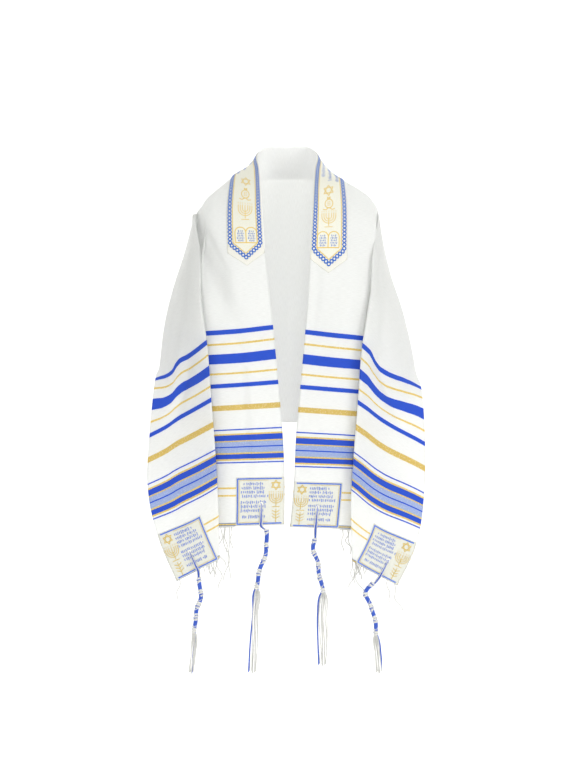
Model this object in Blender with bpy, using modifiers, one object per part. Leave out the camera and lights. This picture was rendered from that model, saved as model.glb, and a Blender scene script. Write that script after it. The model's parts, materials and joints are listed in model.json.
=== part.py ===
"""A tallit: a rectangular prayer shawl worn open over the shoulders, with nobody in it.

The shawl is one rectangle of cloth, 1.83 m along the opening edge and 0.61 m across.  The
opening edge runs from the left front hem up round the nape and down to the right front hem.
The cloth lies over the neck and shoulders, hangs as one panel down the back, and in front
makes a deep pleat on each side between a straight inner panel and a slanting outer panel.
"Left" and "right" are the sides seen from in front: left is -X.  -Y is the front, +Z is up.
"Along" is the distance along the opening edge from the nape; "across" is from that edge.
"""
import math

import bmesh
import bpy
import numpy as np
from mathutils import Vector

MM = 0.001

# The cut, and the weight of the cloth
CLOTH_LENGTH = 1830 * MM
CLOTH_WIDTH = 610 * MM
HALF_LENGTH = CLOTH_LENGTH / 2
CLOTH_THICKNESS = 1.5 * MM
SEAM_GAP = 0.3 * MM

# The drape.  One row for each weft line of the left half, from the nape to the front hem;
# each place is (out from the middle, back, up) in mm, where the line crosses a long fold.
SECTION_COLUMNS = ("along", "edge", "chest", "turn", "crest", "arm", "low", "selvedge")
SECTIONS = (
    (0, (0, 65, 87), (0, 102, 42), (0, 124, -33), (0, 130, -96),
     (0, 134, -196), (0, 135, -348), (0, 132, -507)),
    (46, (44, 58, 86), (47, 95, 40), (47, 120, -32), (47, 127, -95),
     (46, 131, -194), (45, 132, -346), (44, 130, -506)),
    (92, (62, 20, 66), (84, 62, 30), (95, 106, -28), (95, 119, -90),
     (93, 126, -190), (91, 129, -342), (89, 129, -502)),
    (145, (57, -20, 30), (102, 18, 27), (136, 70, -19), (149, 100, -68),
     (150, 120, -160), (148, 127, -312), (142, 128, -480)),
    (205, (54, -60, -15), (105, -34, -1), (168, 12, -27), (189, 56, -55),
     (195, 98, -136), (194, 120, -284), (188, 126, -446)),
    (277, (50, -95, -78), (108, -80, -74), (172, -50, -73), (191, -32, -78),
     (220, 36, -156), (231, 94, -274), (230, 116, -421)),
    (342, (46, -113, -140), (105, -104, -139), (176, -80, -142), (177, -94, -146),
     (236, -9, -213), (259, 54, -306), (258, 84, -400)),
    (417, (38, -117, -215), (98, -117, -217), (174, -98, -223), (174, -122, -232),
     (244, -42, -294), (266, 6, -352), (270, 30, -397)),
    (511, (28, -112, -308), (98, -114, -314), (164, -101, -321), (161, -129, -338),
     (231, -78, -388), (256, -56, -403), (275, -40, -412)),
    (618, (18, -110, -418), (90, -114, -423), (155, -101, -428), (152, -129, -453),
     (219, -92, -491), (259, -71, -514), (286, -55, -529)),
    (710, (10, -108, -511), (82, -113, -514), (147, -101, -518), (144, -128, -555),
     (214, -102, -592), (254, -84, -612), (289, -70, -630)),
    (820, (5, -104, -617), (78, -110, -618), (141, -100, -620), (138, -126, -672),
     (196, -114, -706), (232, -106, -722), (265, -100, -736)),
    (915, (6, -100, -711), (75, -106, -713), (139, -98, -716), (136, -124, -780),
     (180, -114, -802), (204, -109, -815), (226, -104, -827)),
)
TURN = SECTION_COLUMNS.index("turn") - 1
CREST = SECTION_COLUMNS.index("crest") - 1

# The right half hangs a little differently in front: farther out, lower (mm)
RIGHT_EDGE_OUT = 9
RIGHT_CREST_OUT = -10
RIGHT_UP = -10
RIGHT_OUTER_UP = -17
# Its shoulder slopes down straighter to a sharper corner
RIGHT_SLOPE_UP = -7
RIGHT_CORNER_UP = 5
RIGHT_CORNER_OUT = -4
# Its arm, at these distances along
RIGHT_ARM_COLUMNS = ("along", "out")
RIGHT_ARM = (
    (0, 0),
    (145, -1),
    (205, -7),
    (277, -10),
    (342, -12),
    (417, 0),
    (511, 5),
    (618, 1),
    (710, -5),
    (820, 0),
    (915, 0),
)

# The front pleat between the turn of the inner panel and the crest of the outer panel.
# Its depth is worked out on each weft line from the width that is left over.
PLEAT_START = 215 * MM
PLEAT_FULL = 335 * MM
PLEAT_COLUMNS = ("share", "out", "back")
PLEAT = (
    (0.00, 0.00, 0.00),
    (0.20, 0.04, 0.42),
    (0.46, 0.15, 1.00),
    (0.54, 0.32, 1.00),
    (0.74, 0.21, 0.58),
    (0.90, 0.07, 0.14),
    (1.00, 0.00, 0.00),
)

# Smaller folds: a ridge (height above 0) or a trough along a line on the flat cloth, in mm.
# A minus sign on "along" is the left half.
CREASE_COLUMNS = ("along_a", "across_a", "along_b", "across_b", "half_width", "height")
CREASES = (
    (-268, 330, -286, 760, 40, 12),
    (-205, 300, -212, 760, 26, -13),
    (-150, 250, -158, 760, 26, 11),
    (-92, 330, -96, 760, 24, -9),
    (-40, 380, -46, 760, 26, 8),
    (22, 340, 24, 760, 26, -8),
    (82, 300, 88, 760, 26, 10),
    (140, 260, 150, 760, 26, -10),
    (200, 230, 214, 760, 28, 14),
    (258, 330, 268, 760, 30, -9),
    (318, 360, 336, 760, 40, 10),
    (-255, 132, -385, 70, 13, -4),
    (-310, 290, -480, 500, 17, -5),
    (-450, 490, -640, 548, 18, -5),
    (290, 250, 440, 400, 15, -5),
    (400, 380, 680, 490, 16, -6),
    (-330, 60, -560, 95, 22, 4),
    (360, 100, 600, 60, 24, 4),
)

# How finely the cloth is drawn: samples of a weft line, rows in each half, and columns
# between the opening edge, the turn, the bottom of the pleat, the crest and the selvedge
LINE_SAMPLES = 306
SPAN_SAMPLES = 24
BEND_ROUNDS = 18
HALF_ROWS = 31
COLUMN_SPANS = (7, 6, 6, 11)
PLAIN_KNOTS = np.array((142, 264, 386)) * MM
KNOTS_MOVE = 40 * MM

# Corner patches, a square near each end of both long edges
PATCH_SIZE = 100 * MM
PATCH_THICKNESS = 0.8 * MM

# The neckband: a woven ribbon on a backing, with pointed ends.  Its middle lies a little to
# the right of the nape; STRAIGHT and TIP are half lengths.
BAND_MIDDLE = 5 * MM
BACKING_INNER = 1 * MM
BACKING_OUTER = 78 * MM
BACKING_STRAIGHT = 361 * MM
BACKING_TIP = 387 * MM
BACKING_THICKNESS = 0.9 * MM
RIBBON_INNER = 3 * MM
RIBBON_OUTER = 76 * MM
RIBBON_STRAIGHT = 346 * MM
RIBBON_TIP = 377 * MM
RIBBON_THICKNESS = 0.9 * MM

# Tzitzit: one knotted tassel through each corner, in mm.  The eye is its hole, (along,
# across) on the flat cloth; the route runs down its wound part, (x, up); the tails say how
# its free strands spread, (x of the leftmost strand, x of the rightmost, up).
STRAND_SIZE = 1.7 * MM
HEAD_RADIUS = 3.4 * MM
KNOT_RADIUS = 4.6 * MM
HEAD_STEP = 9 * MM
KNOT_EVERY = 4
STRANDS_WIDE = 4
STRANDS_DEEP = 2
STRAND_INSET = 0.25 * MM
TASSELS = {
    "tzitzit_outer_left": {
        "eye": (-872, 559), "route": ((-181, -818), (-178, -861), (-184, -886), (-191, -929)),
        "tails": ((-194, -186, -933), (-198, -188, -975), (-202, -191, -1013))},
    "tzitzit_inner_left": {
        "eye": (-870, 48), "route": ((-42, -719), (-42, -758), (-54, -799), (-63, -842)),
        "tails": ((-68, -57, -846), (-72, -60, -890), (-77, -59, -948), (-79, -62, -1013))},
    "tzitzit_inner_right": {
        "eye": (869, 53), "route": ((58, -738), (54, -754), (61, -785), (74, -848)),
        "tails": ((68, 80, -852), (60, 82, -896), (61, 84, -945), (65, 82, -998))},
    "tzitzit_outer_right": {
        "eye": (873, 568), "route": ((178, -829), (160, -849), (174, -879), (182, -936)),
        "tails": ((177, 187, -940), (179, 192, -975), (181, 195, -1013))},
}

# Hem fringe: loose threads below each hem, between the two corner patches
FRINGE_FIRST = 102 * MM
FRINGE_LAST = 500 * MM
FRINGE_SPACING = 13 * MM
FRINGE_THREAD = 1.5 * MM
FRINGE_STRIP_HEIGHT = 2.5 * MM
FRINGE_STRIP_THICKNESS = 1.2 * MM
FRINGE_LENGTH = 46 * MM
FRINGE_STEPS = 3

COLOURS = {
    "cloth": (0.90, 0.90, 0.89, 1.0),
    "backing": (0.85, 0.82, 0.70, 1.0),
    "ribbon": (0.72, 0.72, 0.62, 1.0),
    "patch": (0.82, 0.79, 0.68, 1.0),
    "tzitzit": (0.10, 0.20, 0.62, 1.0),
    "fringe": (0.92, 0.92, 0.90, 1.0),
}


# ---------------------------------------------------------------- curves

def smooth_ramp(start, end, value):
    """0 before start, 1 after end, smooth between."""
    share = np.clip((value - start) / (end - start), 0.0, 1.0)
    return share * share * (3 - 2 * share)


def curve_slopes(places, keys):
    """Slopes at keys of a smooth curve through places."""
    steps = np.diff(keys)[:, None]
    chords = np.diff(places, axis=0) / steps
    inner = (chords[:-1] * steps[1:] + chords[1:] * steps[:-1]) / (steps[:-1] + steps[1:])
    first = 1.5 * chords[:1] - 0.5 * inner[:1]
    last = 1.5 * chords[-1:] - 0.5 * inner[-1:]
    return np.vstack([first, inner, last])


def hermite(start, end, start_slope, end_slope, share):
    """Cubic between two places, for shares 0 to 1 of the way."""
    share = share[:, None]
    rise = share * share * (3 - 2 * share)
    leave = share * (1 - share) ** 2
    arrive = share * share * (share - 1)
    return start + (end - start) * rise + start_slope * leave + end_slope * arrive


def curve_through(keys, places, where):
    """Points of the smooth curve through places, where its key has the values given."""
    slopes = curve_slopes(places, keys)
    span = np.clip(np.searchsorted(keys, where, side="right") - 1, 0, len(keys) - 2)
    step = (keys[span + 1] - keys[span])
    share = (where - keys[span]) / step
    step = step[:, None]
    return hermite(places[span], places[span + 1], slopes[span] * step,
                   slopes[span + 1] * step, share)


def even_line(line, count):
    """The line cut into even steps, and its length."""
    steps = np.linalg.norm(np.diff(line, axis=0), axis=1)
    reach = np.concatenate([[0.0], np.cumsum(steps)])
    where = np.linspace(0.0, reach[-1], count)
    columns = [np.interp(where, reach, line[:, axis]) for axis in range(3)]
    return np.stack(columns, axis=1), reach[-1]


def rounded_line(line):
    """The line with its corners rounded to the bend that the cloth takes."""
    for _ in range(BEND_ROUNDS):
        before = 2 * line[:1] - line[1:2]
        after = 2 * line[-1:] - line[-2:-1]
        padded = np.vstack([before, line, after])
        line = 0.25 * padded[:-2] + 0.5 * padded[1:-1] + 0.25 * padded[2:]
    return line


# ---------------------------------------------------------------- the drape

def side_sections(side):
    """The sections of one half, in metres: side is -1 for the left and +1 for the right."""
    keys = np.array([row[0] for row in SECTIONS]) * MM
    places = np.array([row[1:] for row in SECTIONS], dtype=float)
    if side > 0:
        front = smooth_ramp(300 * MM, 500 * MM, keys)
        above_hem = 1 - smooth_ramp(820 * MM, HALF_LENGTH, keys)
        share = front * (0.5 + 0.5 * above_hem)
        slope = smooth_ramp(92 * MM, 145 * MM, keys) * (1 - smooth_ramp(145 * MM, 205 * MM, keys))
        corner = smooth_ramp(145 * MM, 205 * MM, keys) * (1 - smooth_ramp(205 * MM, 342 * MM, keys))
        arm_along, arm_out = np.array(RIGHT_ARM).T
        places[:, 0, 0] += RIGHT_EDGE_OUT * front * above_hem
        places[:, TURN:CREST + 1, 0] += RIGHT_CREST_OUT * share[:, None]
        places[:, CREST, 0] += RIGHT_CORNER_OUT * corner
        places[:, CREST + 1:, 0] += np.interp(keys, arm_along * MM, arm_out)[:, None]
        places[:, :TURN + 1, 2] += RIGHT_UP * share[:, None]
        places[:, CREST, 2] += 0.4 * RIGHT_UP * share
        places[:, CREST + 1:, 2] += RIGHT_OUTER_UP * share[:, None]
        places[:, 1:CREST + 1, 2] += RIGHT_SLOPE_UP * slope[:, None]
        places[:, TURN:CREST + 1, 2] += RIGHT_CORNER_UP * corner[:, None]
    places[:, :, 0] *= side
    return keys, places * MM


def weft_line(places, pleat, depth, side):
    """One weft line through its places, with the pleat folded in to a depth.

    Also returns the share of the line's length at the turn, the pleat's bottom and the crest.
    """
    chords = np.linalg.norm(np.diff(places, axis=0), axis=1)
    keys = np.concatenate([[0.0], np.cumsum(chords)])
    slopes = curve_slopes(places, keys)
    folded = np.array(PLEAT)
    parts = []
    for span, chord in enumerate(chords):
        count = SPAN_SAMPLES * (3 if span == TURN else 1)
        share = np.linspace(0.0, 1.0, count, endpoint=False)
        leave = slopes[span]
        arrive = slopes[span + 1]
        straight = (places[span + 1] - places[span]) / chord
        if span + 1 == TURN:
            arrive = arrive * (1 - pleat) + (1.5 * straight - 0.5 * leave) * pleat
        if span == TURN:
            leave = leave * (1 - pleat) + straight * pleat
            arrive = arrive * (1 - pleat) + straight * pleat
        if span == CREST:
            leave = leave * (1 - pleat) + (1.5 * straight - 0.5 * arrive) * pleat
        part = hermite(places[span], places[span + 1], leave * chord, arrive * chord, share)
        if span == TURN:
            part[:, 0] += side * depth * np.interp(share, folded[:, 0], folded[:, 1])
            part[:, 1] += depth * np.interp(share, folded[:, 0], folded[:, 2])
        parts.append(part)
    line = np.vstack(parts + [places[-1:]])
    steps = np.linalg.norm(np.diff(line, axis=0), axis=1)
    reach = np.concatenate([[0.0], np.cumsum(steps)]) / steps.sum()
    turn = TURN * SPAN_SAMPLES
    crest = turn + 3 * SPAN_SAMPLES
    bottom = (turn + crest) // 2
    return line, reach[[turn, bottom, crest]]


def settled_line(places, pleat, side):
    """One weft line of the cloth's whole width.

    Width that the places leave over goes into the pleat's depth; where there is no pleat,
    the cloth hangs lower instead.
    """
    def finished(depth):
        line, shares = weft_line(places, pleat, depth, side)
        line, _ = even_line(line, LINE_SAMPLES)
        line, length = even_line(rounded_line(line), LINE_SAMPLES)
        return line, length, shares

    line, length, shares = finished(0.0)
    places = places.copy()
    places[-1, 2] -= (CLOTH_WIDTH - length) * (1 - pleat)
    if pleat == 0:
        return finished(0.0)
    shallow, deep = 0.0, CLOTH_WIDTH / 2
    for _ in range(12):
        depth = (shallow + deep) / 2
        line, length, shares = finished(depth)
        if length < CLOTH_WIDTH:
            shallow = depth
        else:
            deep = depth
    return line, length, shares


def half_drape(side):
    """Even weft lines of one half, nape first, and the places of its long folds across."""
    keys, places = side_sections(side)
    along = np.linspace(0.0, HALF_LENGTH, HALF_ROWS + 1)
    dense = curve_through(keys, places.reshape(len(keys), -1), along)
    dense = dense.reshape(len(along), -1, 3)
    lines = []
    knots = []
    for row, reach in zip(dense, along):
        pleat = float(smooth_ramp(PLEAT_START, PLEAT_FULL, reach))
        line, length, shares = settled_line(row, pleat, side)
        follow = smooth_ramp(KNOTS_MOVE, PLEAT_START, reach)
        knots.append(PLAIN_KNOTS * (1 - follow) + shares * length * follow)
        lines.append(line)
    return np.array(lines), np.array(knots)


def grid_normals(grid):
    """Outward unit normals of a grid of points."""
    normals = np.cross(np.gradient(grid, axis=0), np.gradient(grid, axis=1))
    return normals / np.linalg.norm(normals, axis=2, keepdims=True)


def crease_height(along, across):
    """Height of all the small folds at places on the flat cloth."""
    height = np.zeros(np.broadcast(along, across).shape)
    for row in CREASES:
        start_along, start_across, end_along, end_across, half_width, rise = np.array(row) * MM
        run = np.array((end_along - start_along, end_across - start_across))
        length = np.hypot(*run)
        run = run / length
        ahead = (along - start_along) * run[0] + (across - start_across) * run[1]
        aside = (along - start_along) * run[1] - (across - start_across) * run[0]
        fade = smooth_ramp(0, 0.45 * length, ahead) * (1 - smooth_ramp(0.6 * length, length, ahead))
        height += rise * fade * np.exp(-(aside / half_width) ** 2)
    return height


def column_places(knots):
    """Where one weft line's columns lie across, closer together at the folds."""
    stops = np.concatenate([[0.0], knots, [CLOTH_WIDTH]])
    columns = [np.array([0.0])]
    for start, end, count in zip(stops[:-1], stops[1:], COLUMN_SPANS):
        share = np.arange(1, count + 1) / count
        columns.append(start + (end - start) * share)
    return np.concatenate(columns)


def whole_drape():
    """The cloth as a grid: along (rows), across (rows, columns) and points."""
    left_lines, left_knots = half_drape(-1)
    right_lines, right_knots = half_drape(1)
    lines = np.concatenate([left_lines[::-1], right_lines[1:]])
    knots = np.concatenate([left_knots[::-1], right_knots[1:]])
    along = np.linspace(-HALF_LENGTH, HALF_LENGTH, 2 * HALF_ROWS + 1)
    even = np.linspace(0.0, CLOTH_WIDTH, LINE_SAMPLES)
    height = crease_height(along[:, None], even[None, :])
    lines = lines + grid_normals(lines) * height[:, :, None]
    across = np.array([column_places(row) for row in knots])
    points = np.empty(across.shape + (3,))
    for row, (line, places) in enumerate(zip(lines, across)):
        for axis in range(3):
            points[row, :, axis] = np.interp(places, even, line[:, axis])
    return along, across, points


# ---------------------------------------------------------------- pieces of cloth

def make_material(name, slot):
    material = bpy.data.materials.new(name)
    material.use_nodes = True
    shader = material.node_tree.nodes["Principled BSDF"]
    shader.inputs["Base Color"].default_value = COLOURS[slot]
    shader.inputs["Roughness"].default_value = 0.9
    shader.inputs["Metallic"].default_value = 0.0
    return material


def add_object(name, mesh, slot, collection):
    mesh.materials.append(make_material(name, slot))
    piece = bpy.data.objects.new(name, mesh)
    collection.objects.link(piece)
    return piece


def add_thickness(piece, thickness, offset):
    wall = piece.modifiers.new("wall", "SOLIDIFY")
    wall.thickness = thickness
    wall.offset = offset
    wall.use_rim = True


def grid_faces(rows, columns):
    """Triangles of a grid, each cell cut the same way."""
    index = np.arange(rows * columns).reshape(rows, columns)
    corner = index[:-1, :-1].ravel()
    ahead = index[1:, :-1].ravel()
    aside = index[:-1, 1:].ravel()
    opposite = index[1:, 1:].ravel()
    first = np.stack([corner, ahead, opposite], axis=1)
    second = np.stack([corner, opposite, aside], axis=1)
    return np.concatenate([first, second]).tolist()


def make_cloth(collection):
    """Makes the whole rectangle of cloth; returns the flat sheet that pieces on it are cut from."""
    along, across, points = whole_drape()
    rows, columns = across.shape
    faces = grid_faces(rows, columns)
    mesh = bpy.data.meshes.new("shawl_cloth")
    mesh.from_pydata(points.reshape(-1, 3).tolist(), [], faces)
    mesh.shade_smooth()
    normals = np.empty(rows * columns * 3, dtype=np.float32)
    mesh.vertex_normals.foreach_get("vector", normals)
    cloth = add_object("shawl_cloth", mesh, "cloth", collection)
    add_thickness(cloth, CLOTH_THICKNESS, 0.0)
    flat = np.stack([np.broadcast_to(along[:, None], across.shape), across], axis=2)
    return {
        "flat": flat.reshape(-1, 2), "faces": faces, "points": points.reshape(-1, 3),
        "normals": normals.reshape(-1, 3).astype(float),
    }


def make_overlay(name, slot, sheet, outline, lift, thickness, collection):
    """A thin piece sewn on the cloth: the convex outline cut from the cloth's own facets.

    The outline is a list of (along, across) corners on the flat cloth, anticlockwise.
    """
    shape = bmesh.new()
    place = shape.verts.layers.float_vector.new("place")
    normal = shape.verts.layers.float_vector.new("normal")
    corners = []
    for flat, point, direction in zip(sheet["flat"], sheet["points"], sheet["normals"]):
        corner = shape.verts.new((flat[0], flat[1], 0.0))
        corner[place] = Vector(point)
        corner[normal] = Vector(direction)
        corners.append(corner)
    for face in sheet["faces"]:
        shape.faces.new([corners[index] for index in face])
    for start, end in zip(outline, outline[1:] + outline[:1]):
        outward = Vector((end[1] - start[1], start[0] - end[0], 0.0)).normalized()
        bmesh.ops.bisect_plane(
            shape, geom=shape.verts[:] + shape.edges[:] + shape.faces[:], dist=1e-6,
            plane_co=(start[0], start[1], 0.0), plane_no=outward, clear_outer=True)
    for corner in shape.verts:
        corner.co = corner[place] + corner[normal].normalized() * lift
    mesh = bpy.data.meshes.new(name)
    shape.to_mesh(mesh)
    shape.free()
    piece = add_object(name, mesh, slot, collection)
    add_thickness(piece, thickness, 1.0)


def make_patches(sheet, collection):
    """The four corner patches."""
    lift = CLOTH_THICKNESS / 2 + SEAM_GAP
    edge = 1 * MM
    for side_name, side in (("left", -1), ("right", 1)):
        hem, inner_end = sorted((side * (HALF_LENGTH - edge), side * (HALF_LENGTH - PATCH_SIZE)))
        for place_name, first in (("inner", edge), ("outer", CLOTH_WIDTH - PATCH_SIZE)):
            last = first + PATCH_SIZE - edge
            outline = [(hem, first), (inner_end, first), (inner_end, last), (hem, last)]
            make_overlay(f"corner_patch_{place_name}_{side_name}", "patch", sheet, outline,
                         lift, PATCH_THICKNESS, collection)


def band_outline(inner, outer, straight, tip):
    """A strip along the opening edge with pointed ends."""
    middle = (inner + outer) / 2
    return [(BAND_MIDDLE - straight, inner), (BAND_MIDDLE + straight, inner),
            (BAND_MIDDLE + tip, middle), (BAND_MIDDLE + straight, outer),
            (BAND_MIDDLE - straight, outer), (BAND_MIDDLE - tip, middle)]


def make_neckband(sheet, collection):
    """The backing and the woven ribbon on it, round the nape and down both fronts."""
    lift = CLOTH_THICKNESS / 2 + SEAM_GAP
    outline = band_outline(BACKING_INNER, BACKING_OUTER, BACKING_STRAIGHT, BACKING_TIP)
    make_overlay("neckband_backing", "backing", sheet, outline, lift, BACKING_THICKNESS,
                 collection)
    lift += BACKING_THICKNESS + SEAM_GAP
    outline = band_outline(RIBBON_INNER, RIBBON_OUTER, RIBBON_STRAIGHT, RIBBON_TIP)
    make_overlay("neckband_ribbon", "ribbon", sheet, outline, lift, RIBBON_THICKNESS,
                 collection)


# ---------------------------------------------------------------- threads

def sheet_place(sheet, along, across):
    """The point and the normal of the cloth at a place on the flat cloth."""
    faces = np.array(sheet["faces"])
    first, second, third = (sheet["flat"][faces[:, corner]] for corner in range(3))
    to_second = second - first
    to_third = third - first
    to_place = np.array((along, across)) - first
    area = to_second[:, 0] * to_third[:, 1] - to_second[:, 1] * to_third[:, 0]
    second_share = (to_place[:, 0] * to_third[:, 1] - to_place[:, 1] * to_third[:, 0]) / area
    third_share = (to_second[:, 0] * to_place[:, 1] - to_second[:, 1] * to_place[:, 0]) / area
    inside = np.minimum(np.minimum(second_share, third_share), 1 - second_share - third_share)
    best = int(np.argmax(inside))
    shares = np.array((1 - second_share[best] - third_share[best],
                       second_share[best], third_share[best]))
    point = shares @ sheet["points"][faces[best]]
    normal = shares @ sheet["normals"][faces[best]]
    return point, normal / np.linalg.norm(normal)


def pull_thread(shape, face, route):
    """Extrude a face along a route, so that its middle passes through each place."""
    for place in route:
        face = bmesh.ops.extrude_discrete_faces(shape, faces=[face])["faces"][0]
        step = Vector(place) - face.calc_center_median()
        bmesh.ops.translate(shape, verts=face.verts, vec=step)


def cap_places():
    """Level places of a tassel head's cap: a small grid of strands, drawn in to a round."""
    places = []
    for deep in np.linspace(-1.0, 1.0, STRANDS_DEEP + 1):
        for wide in np.linspace(-1.0, 1.0, STRANDS_WIDE + 1):
            length = math.hypot(wide, deep)
            scale = max(abs(wide), abs(deep)) / length if length else 0.0
            places.append((wide * scale, deep * scale))
    return places


def cap_border():
    """The cap grid's border, in order round it."""
    wide = STRANDS_WIDE + 1
    front = list(range(wide))
    right = [wide * row + wide - 1 for row in range(1, STRANDS_DEEP)]
    back = [wide * STRANDS_DEEP + column for column in reversed(range(wide))]
    left = [wide * row for row in reversed(range(1, STRANDS_DEEP))]
    return front + right + back + left


def cap_quads():
    """The cap grid's cells, one for each strand."""
    wide = STRANDS_WIDE + 1
    cells = []
    for row in range(STRANDS_DEEP):
        for column in range(STRANDS_WIDE):
            corner = wide * row + column
            cells.append((corner, corner + 1, corner + wide + 1, corner + wide))
    return cells


def make_head(shape, centres, radii):
    """A closed lofted head through level centres; returns its top and bottom cap faces."""
    places = cap_places()
    border = cap_border()
    caps = []
    rings = []
    for number, (centre, radius) in enumerate(zip(centres, radii)):
        at_end = number in (0, len(centres) - 1)
        wanted = range(len(places)) if at_end else border
        level = {}
        for index in wanted:
            aside, ahead = places[index]
            level[index] = shape.verts.new(
                (centre[0] + aside * radius, centre[1] + ahead * radius, centre[2]))
        if at_end:
            turned = 1 if number == 0 else -1
            caps.append([shape.faces.new([level[index] for index in cell][::turned])
                         for cell in cap_quads()])
        rings.append([level[index] for index in border])
    for upper, lower in zip(rings[:-1], rings[1:]):
        for here in range(len(border)):
            after = (here + 1) % len(border)
            shape.faces.new((upper[here], lower[here], lower[after], upper[after]))
    return caps


def loop_route(sheet, eye, lift, aside):
    """A thread's route up over the cloth from just below the hem to the eye."""
    hem = math.copysign(HALF_LENGTH, eye[0])
    route = []
    for share in (0.01, 0.1, 0.35, 0.7, 1.0):
        point, normal = sheet_place(sheet, hem + (eye[0] - hem) * share, eye[1])
        route.append(point + normal * lift + np.array((aside, 0.0, 0.0)))
    return route


def make_tassel(name, sheet, collection):
    """One tassel: a wound and knotted head, a loop through the corner, and free strands."""
    sizes = TASSELS[name]
    eye = np.array(sizes["eye"]) * MM
    hem_point, _ = sheet_place(sheet, math.copysign(HALF_LENGTH, eye[0]), eye[1])
    route = np.array(sizes["route"]) * MM
    top, bottom = route[0, 1], route[-1, 1]
    count = round((top - bottom) / HEAD_STEP) + 1
    levels = np.linspace(top, bottom, count)
    path = curve_through(-route[:, 1], route, -levels)
    centres = [(place[0], hem_point[1], place[1]) for place in path]
    radii = [KNOT_RADIUS if number % KNOT_EVERY == 1 else HEAD_RADIUS
             for number in range(count)]
    shape = bmesh.new()
    top_cap, bottom_cap = make_head(shape, centres, radii)
    bmesh.ops.inset_individual(shape, faces=top_cap + bottom_cap, thickness=STRAND_INSET)
    front_lift = CLOTH_THICKNESS / 2 + PATCH_THICKNESS + STRAND_SIZE + 3 * SEAM_GAP
    back_lift = -(CLOTH_THICKNESS / 2 + STRAND_SIZE + 3 * SEAM_GAP)
    middle = STRANDS_WIDE // 2
    for row, lift in ((0, front_lift), (STRANDS_DEEP - 1, back_lift)):
        for column, aside in ((middle - 1, -STRAND_SIZE / 2), (middle, STRAND_SIZE / 2)):
            face = top_cap[row * STRANDS_WIDE + column]
            pull_thread(shape, face, loop_route(sheet, eye, lift, aside))
    for number, face in enumerate(bottom_cap):
        row, column = divmod(number, STRANDS_WIDE)
        share = (column + 0.35 + 0.3 * row) / STRANDS_WIDE
        back = (row - 0.5) * 2 * STRAND_SIZE
        strand = [(MM * (left + (right - left) * share), hem_point[1] + back, MM * up)
                  for left, right, up in sizes["tails"]]
        pull_thread(shape, face, strand)
    bmesh.ops.recalc_face_normals(shape, faces=shape.faces)
    mesh = bpy.data.meshes.new(name)
    shape.to_mesh(mesh)
    shape.free()
    add_object(name, mesh, "tzitzit", collection)


def fringe_stops():
    """Where the fringe strip is cut across the cloth, with each thread between two stops."""
    stops = [FRINGE_FIRST]
    threads = []
    start = FRINGE_FIRST + FRINGE_SPACING / 2
    while start + FRINGE_THREAD < FRINGE_LAST:
        threads.append(len(stops))
        stops += [start, start + FRINGE_THREAD]
        start += FRINGE_SPACING
    return stops + [FRINGE_LAST], threads


def make_fringe(name, side, sheet, collection):
    """A narrow strip just below one hem, with its threads hanging from it."""
    stops, threads = fringe_stops()
    hem = side * HALF_LENGTH
    inside = side * (HALF_LENGTH - 20 * MM)
    half = FRINGE_STRIP_THICKNESS / 2
    shape = bmesh.new()
    rings = []
    for across in stops:
        edge, normal = sheet_place(sheet, hem, across)
        above, _ = sheet_place(sheet, inside, across)
        down = (edge - above) / np.linalg.norm(edge - above)
        normal = normal - down * (normal @ down)
        normal = normal / np.linalg.norm(normal)
        upper = edge + down * SEAM_GAP
        lower = upper + down * FRINGE_STRIP_HEIGHT
        rings.append([shape.verts.new(place) for place in (
            upper - normal * half, upper + normal * half,
            lower + normal * half, lower - normal * half)])
    shape.faces.new(rings[0])
    shape.faces.new(rings[-1][::-1])
    roots = []
    for number, (here, after) in enumerate(zip(rings[:-1], rings[1:])):
        for corner in range(4):
            follow = (corner + 1) % 4
            face = shape.faces.new((here[corner], after[corner], after[follow], here[follow]))
            if corner == 2 and number in threads:
                roots.append(face)
    bmesh.ops.recalc_face_normals(shape, faces=shape.faces)
    for number, face in enumerate(roots):
        middle = np.array(face.calc_center_median())
        sway = 3 * MM * math.sin(2.4 * number)
        length = FRINGE_LENGTH * (1 + 0.12 * math.sin(1.7 * number))
        route = []
        for step in range(1, FRINGE_STEPS + 1):
            share = step / FRINGE_STEPS
            route.append(middle + np.array((sway * share * share, 0.0, -length * share)))
        pull_thread(shape, face, route)
    mesh = bpy.data.meshes.new(name)
    shape.to_mesh(mesh)
    shape.free()
    add_object(name, mesh, "fringe", collection)


def make_shawl():
    for item in list(bpy.data.objects):
        bpy.data.objects.remove(item)
    collection = bpy.data.collections.new("tallit_prayer_shawl")
    bpy.context.scene.collection.children.link(collection)
    sheet = make_cloth(collection)
    make_patches(sheet, collection)
    make_neckband(sheet, collection)
    for name in TASSELS:
        make_tassel(name, sheet, collection)
    make_fringe("hem_fringe_left", -1, sheet, collection)
    make_fringe("hem_fringe_right", 1, sheet, collection)


make_shawl()
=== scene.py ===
import json
import math
from functools import partialmethod

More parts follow.
